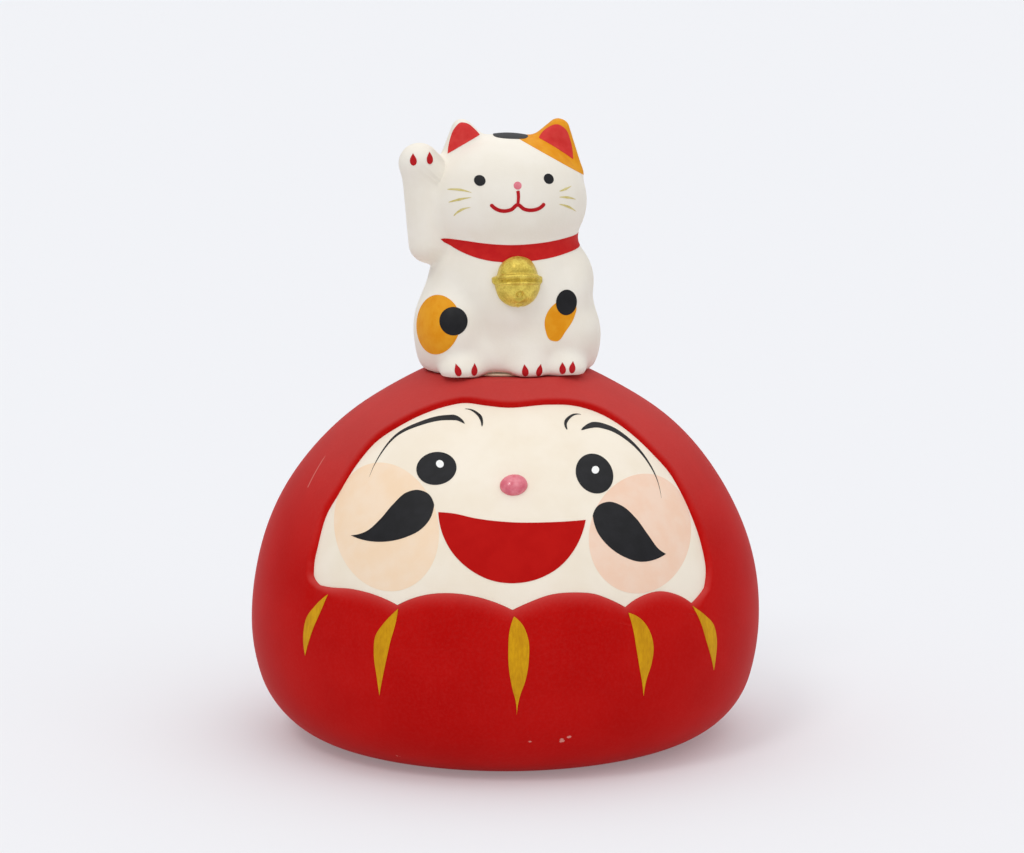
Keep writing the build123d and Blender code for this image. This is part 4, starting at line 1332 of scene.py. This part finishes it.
@dataclass
class CatBodyPaint:
    """Collar, haunch patches and claws."""

    form: CatForm

    def collar(self) -> None:
        """A red band laid in the crease of the neck.

        It starts as a point beside the raised arm, is widest in front, and runs round the right
        and the back to the arm again. Each point is found on a level line in to the neck.
        """
        knots = np.radians([-77, -73, -50, -25, 0, 30, 60, 90, 140, 200, 228])
        turn = np.linspace(knots[0], knots[-1], 300)
        upper = np.interp(turn, knots, (31.2, 31.3, 31.2, 30.5, 30.2, 30.6, 31.5, 32.0, 31.8, 31.4, 31.2))
        lower = np.interp(turn, knots, (31.2, 30.4, 28.3, 26.6, 26.3, 26.9, 28.2, 29.2, 29.2, 29.0, 31.2))
        half = 12                 # the corners of both edges are rounded over this many places
        soft = np.ones(2 * half + 1) / (2 * half + 1)
        for edge in (upper, lower):
            edge[half:-half] = np.convolve(edge, soft, "valid")
        lower[0], lower[-1] = upper[0], upper[-1]
        patch = between(np.stack([turn, upper], axis=1), np.stack([turn, lower], axis=1), 14)

        def level(azimuth: Array) -> Array:
            """Level unit vectors towards an azimuth."""
            return np.stack([np.sin(azimuth), -np.cos(azimuth), 0 * azimuth], axis=-1)

        def place(drawing: Array, height: float) -> Array:
            """Places in space of azimuth and level, at a height over the clay.

            Beside the raised arm the line of sight comes from further in front, past the arm.
            """
            turn = drawing[..., 0]
            neck = np.stack([0 * turn, 0 * turn + 0.4, drawing[..., 1]], axis=-1) + level(turn) * 15
            out = level(np.maximum(turn, radians(-25)))
            return self.form.coated(self.form.march(neck + out * 20, -out), height)

        points, quads = film(patch, False, place, -0.15, 0.10)
        make_piece("collar_band", points, quads, Finish.CAT_RED, "cat", "cat_collar")

    def patches(self) -> None:
        """An orange patch and a black spot on each haunch."""
        right = [(12.6, 17.4), (10.6, 16.1), (9.1, 13.4), (9.2, 10.6), (10.2, 8.5), (11.9, 8.1), (13.9, 10.4),
                 (15.8, 13.4), (16.3, 15.8), (14.8, 17.6)]
        outlines = {
            "haunch_patch_left": (-42.0, oval_outline((-6.4, 11.8), 6.8, 6.75, 0, 80)),
            "haunch_patch_right": (VIEW_SIDE, smooth(right, [80], closed=True)),
            "haunch_spot_left": (VIEW_SIDE, oval_outline((-11.9, 13.0), 3.2, 3.15, 0, 80)),
            "haunch_spot_right": (VIEW_SIDE, oval_outline((14.0, 16.9), 2.4, 2.9, 0, 80)),
        }
        for node, (azimuth, outline) in outlines.items():
            view = CatPaint(self.form, azimuth=azimuth)
            finish, top = (Finish.INK, 0.11) if "spot" in node else (Finish.ORANGE, 0.06)
            patch = fan_patch(outline, tuple(outline.mean(axis=0)), 16)
            view.mark(f"{node}_coat", node, patch, finish, top)

    def claws(self) -> None:
        """Pairs of red drops, pointed at the top and round below, on each paw.

        Half a drop's width is a sine from its point to its widest place, and a circle from there.
        """
        feet = {                  # height, and middle and lean in degrees of each drop
            "claws_raised": (2.8, (-22.3, 49.6, 0), (-18.5, 49.9, 0)),
            "claws_left": (2.8, (-13.5, 2.1, 14), (-9.6, 2.1, -6)),
            "claws_middle": (2.8, (2.0, 1.8, 6), (5.4, 1.75, -14)),
            "claws_right": (2.7, (10.8, 2.05, 0), (13.1, 2.2, -10)),
        }
        front, widest, half = CatPaint(self.form), 0.62, 0.74
        u = np.linspace(0, 1, 25)
        width = half * np.sqrt(np.clip(1 - ((u - widest) / (1 - widest)) ** 2, 0, 1))
        width = np.where(u < widest, half * np.sin(u / widest * pi / 2) ** 1.2, width)
        for node, (height, *drops) in feet.items():
            sheets = []
            for x, z, tilt in drops:
                lean = np.tan(radians(tilt)) * (u - 0.5) * height
                line = np.stack([x + lean, z + height / 2 - u * height], axis=1)
                sheets.append(film(ribbon(line, width, 7), False, front.place, -0.1, 0.07))
            make_piece(f"{node}_drops", *join(sheets), Finish.CLAW_RED, "cat", node)

    def build(self) -> None:
        """Paints the body."""
        self.collar()
        self.patches()
        self.claws()


# ------------------------------------------------------------------------------ the studio
@dataclass
class Studio:
    """A pale floor, a soft white tent, and the camera."""

    lens_mm: float = 113.5
    sensor_mm: float = 36.0
    distance: float = 0.750       # level distance from the doll's axis
    height: float = 0.190
    azimuth: float = radians(-1.9)
    aside: float = 0.0015         # how far the camera looks past the doll's axis
    pitch: float = radians(8.91)

    def camera(self) -> None:
        """A long lens a little above the cat's ears, looking slightly down."""
        c, s = cos(self.azimuth), sin(self.azimuth)
        data = bpy.data.cameras.new("camera")
        data.lens, data.sensor_width = self.lens_mm, self.sensor_mm
        data.clip_start, data.clip_end = 0.01, 100.0
        eye = bpy.data.objects.new("camera", data)
        bpy.context.scene.collection.objects.link(eye)
        eye.location = (c * self.aside + s * self.distance, s * self.aside - c * self.distance, self.height)
        eye.rotation_euler = (pi / 2 - self.pitch, 0.0, self.azimuth)
        bpy.context.scene.camera = eye

    def floor(self) -> None:
        """A wide, matte, white table that glows a little from below."""
        half = 40.0
        mesh = bpy.data.meshes.new("floor_card")
        corners = [(-half, -half, 0), (half, -half, 0), (half, half, 0), (-half, half, 0)]
        mesh.from_pydata(corners, [], [(0, 1, 2, 3)])
        card = bpy.data.objects.new("floor_card", mesh)
        bpy.context.scene.collection.objects.link(card)
        material, tree = new_material("white_card")
        shader = add(tree, "ShaderNodeBsdfPrincipled",
                     {"Base Color": linear("#D0D1D4"), "Roughness": 0.9, "Specular IOR Level": 0.1,
                      "Emission Color": linear("#FAFBFF"), "Emission Strength": 0.205})
        add(tree, "ShaderNodeOutputMaterial", None, {"Surface": shader.outputs["BSDF"]})
        mesh.materials.append(material)

    def lights(self) -> None:
        """A tent of light that is brightest overhead, and three soft lamps."""
        world = bpy.data.worlds.new("tent")
        world.use_nodes = True
        tree = world.node_tree
        tree.nodes.clear()
        where = add(tree, "ShaderNodeTexCoord")
        split = add(tree, "ShaderNodeSeparateXYZ", None, {"Vector": where.outputs["Generated"]})
        up = add(tree, "ShaderNodeMapRange", {"From Max": 0.9}, {"Value": split.outputs["Z"]},
                 interpolation_type="SMOOTHSTEP")
        mix = add(tree, "ShaderNodeMix", {6: linear("#E6E8EE"), 7: linear("#FFFFFF")},
                  {0: up.outputs["Result"]}, data_type="RGBA")
        power = add(tree, "ShaderNodeMapRange", {"To Min": 0.44, "To Max": 0.86},
                    {"Value": up.outputs["Result"]})
        glow = add(tree, "ShaderNodeBackground", None,
                   {"Color": mix.outputs[2], "Strength": power.outputs["Result"]})
        add(tree, "ShaderNodeOutputWorld", None, {"Surface": glow.outputs["Background"]})
        bpy.context.scene.world = world
        for name, strength, spread, tilt, turn in (
            ("lamp_left", 0.50, 16, 40, -34),
            ("lamp_right", 0.35, 60, 44, 40),
            ("lamp_over", 0.56, 80, -20, 0),
        ):
            data = bpy.data.lights.new(name, "SUN")
            data.energy, data.angle = strength, radians(spread)
            lamp = bpy.data.objects.new(name, data)
            lamp.rotation_euler = (radians(tilt), 0.0, radians(turn))
            bpy.context.scene.collection.objects.link(lamp)

    def build(self) -> None:
        """Sets up the whole studio."""
        self.camera()
        self.floor()
        self.lights()
        bpy.context.scene.view_settings.view_transform = "Standard"


def main() -> None:
    """Builds the studio, the doll and the cat, in that order."""
    logging.basicConfig(level=logging.INFO, format="%(name)s: %(message)s")
    Studio().build()
    doll = DollForm()
    shell = DollShell(doll)
    shell.build()
    DollFace(doll, shell).build()
    RobePleats(doll, shell).build()
    cat = CatForm()
    CatFigure(cat).build()
    CatBell(cat).build()
    CatFace(cat).build()
    CatBodyPaint(cat).build()


if __name__ == "__main__":
    main()
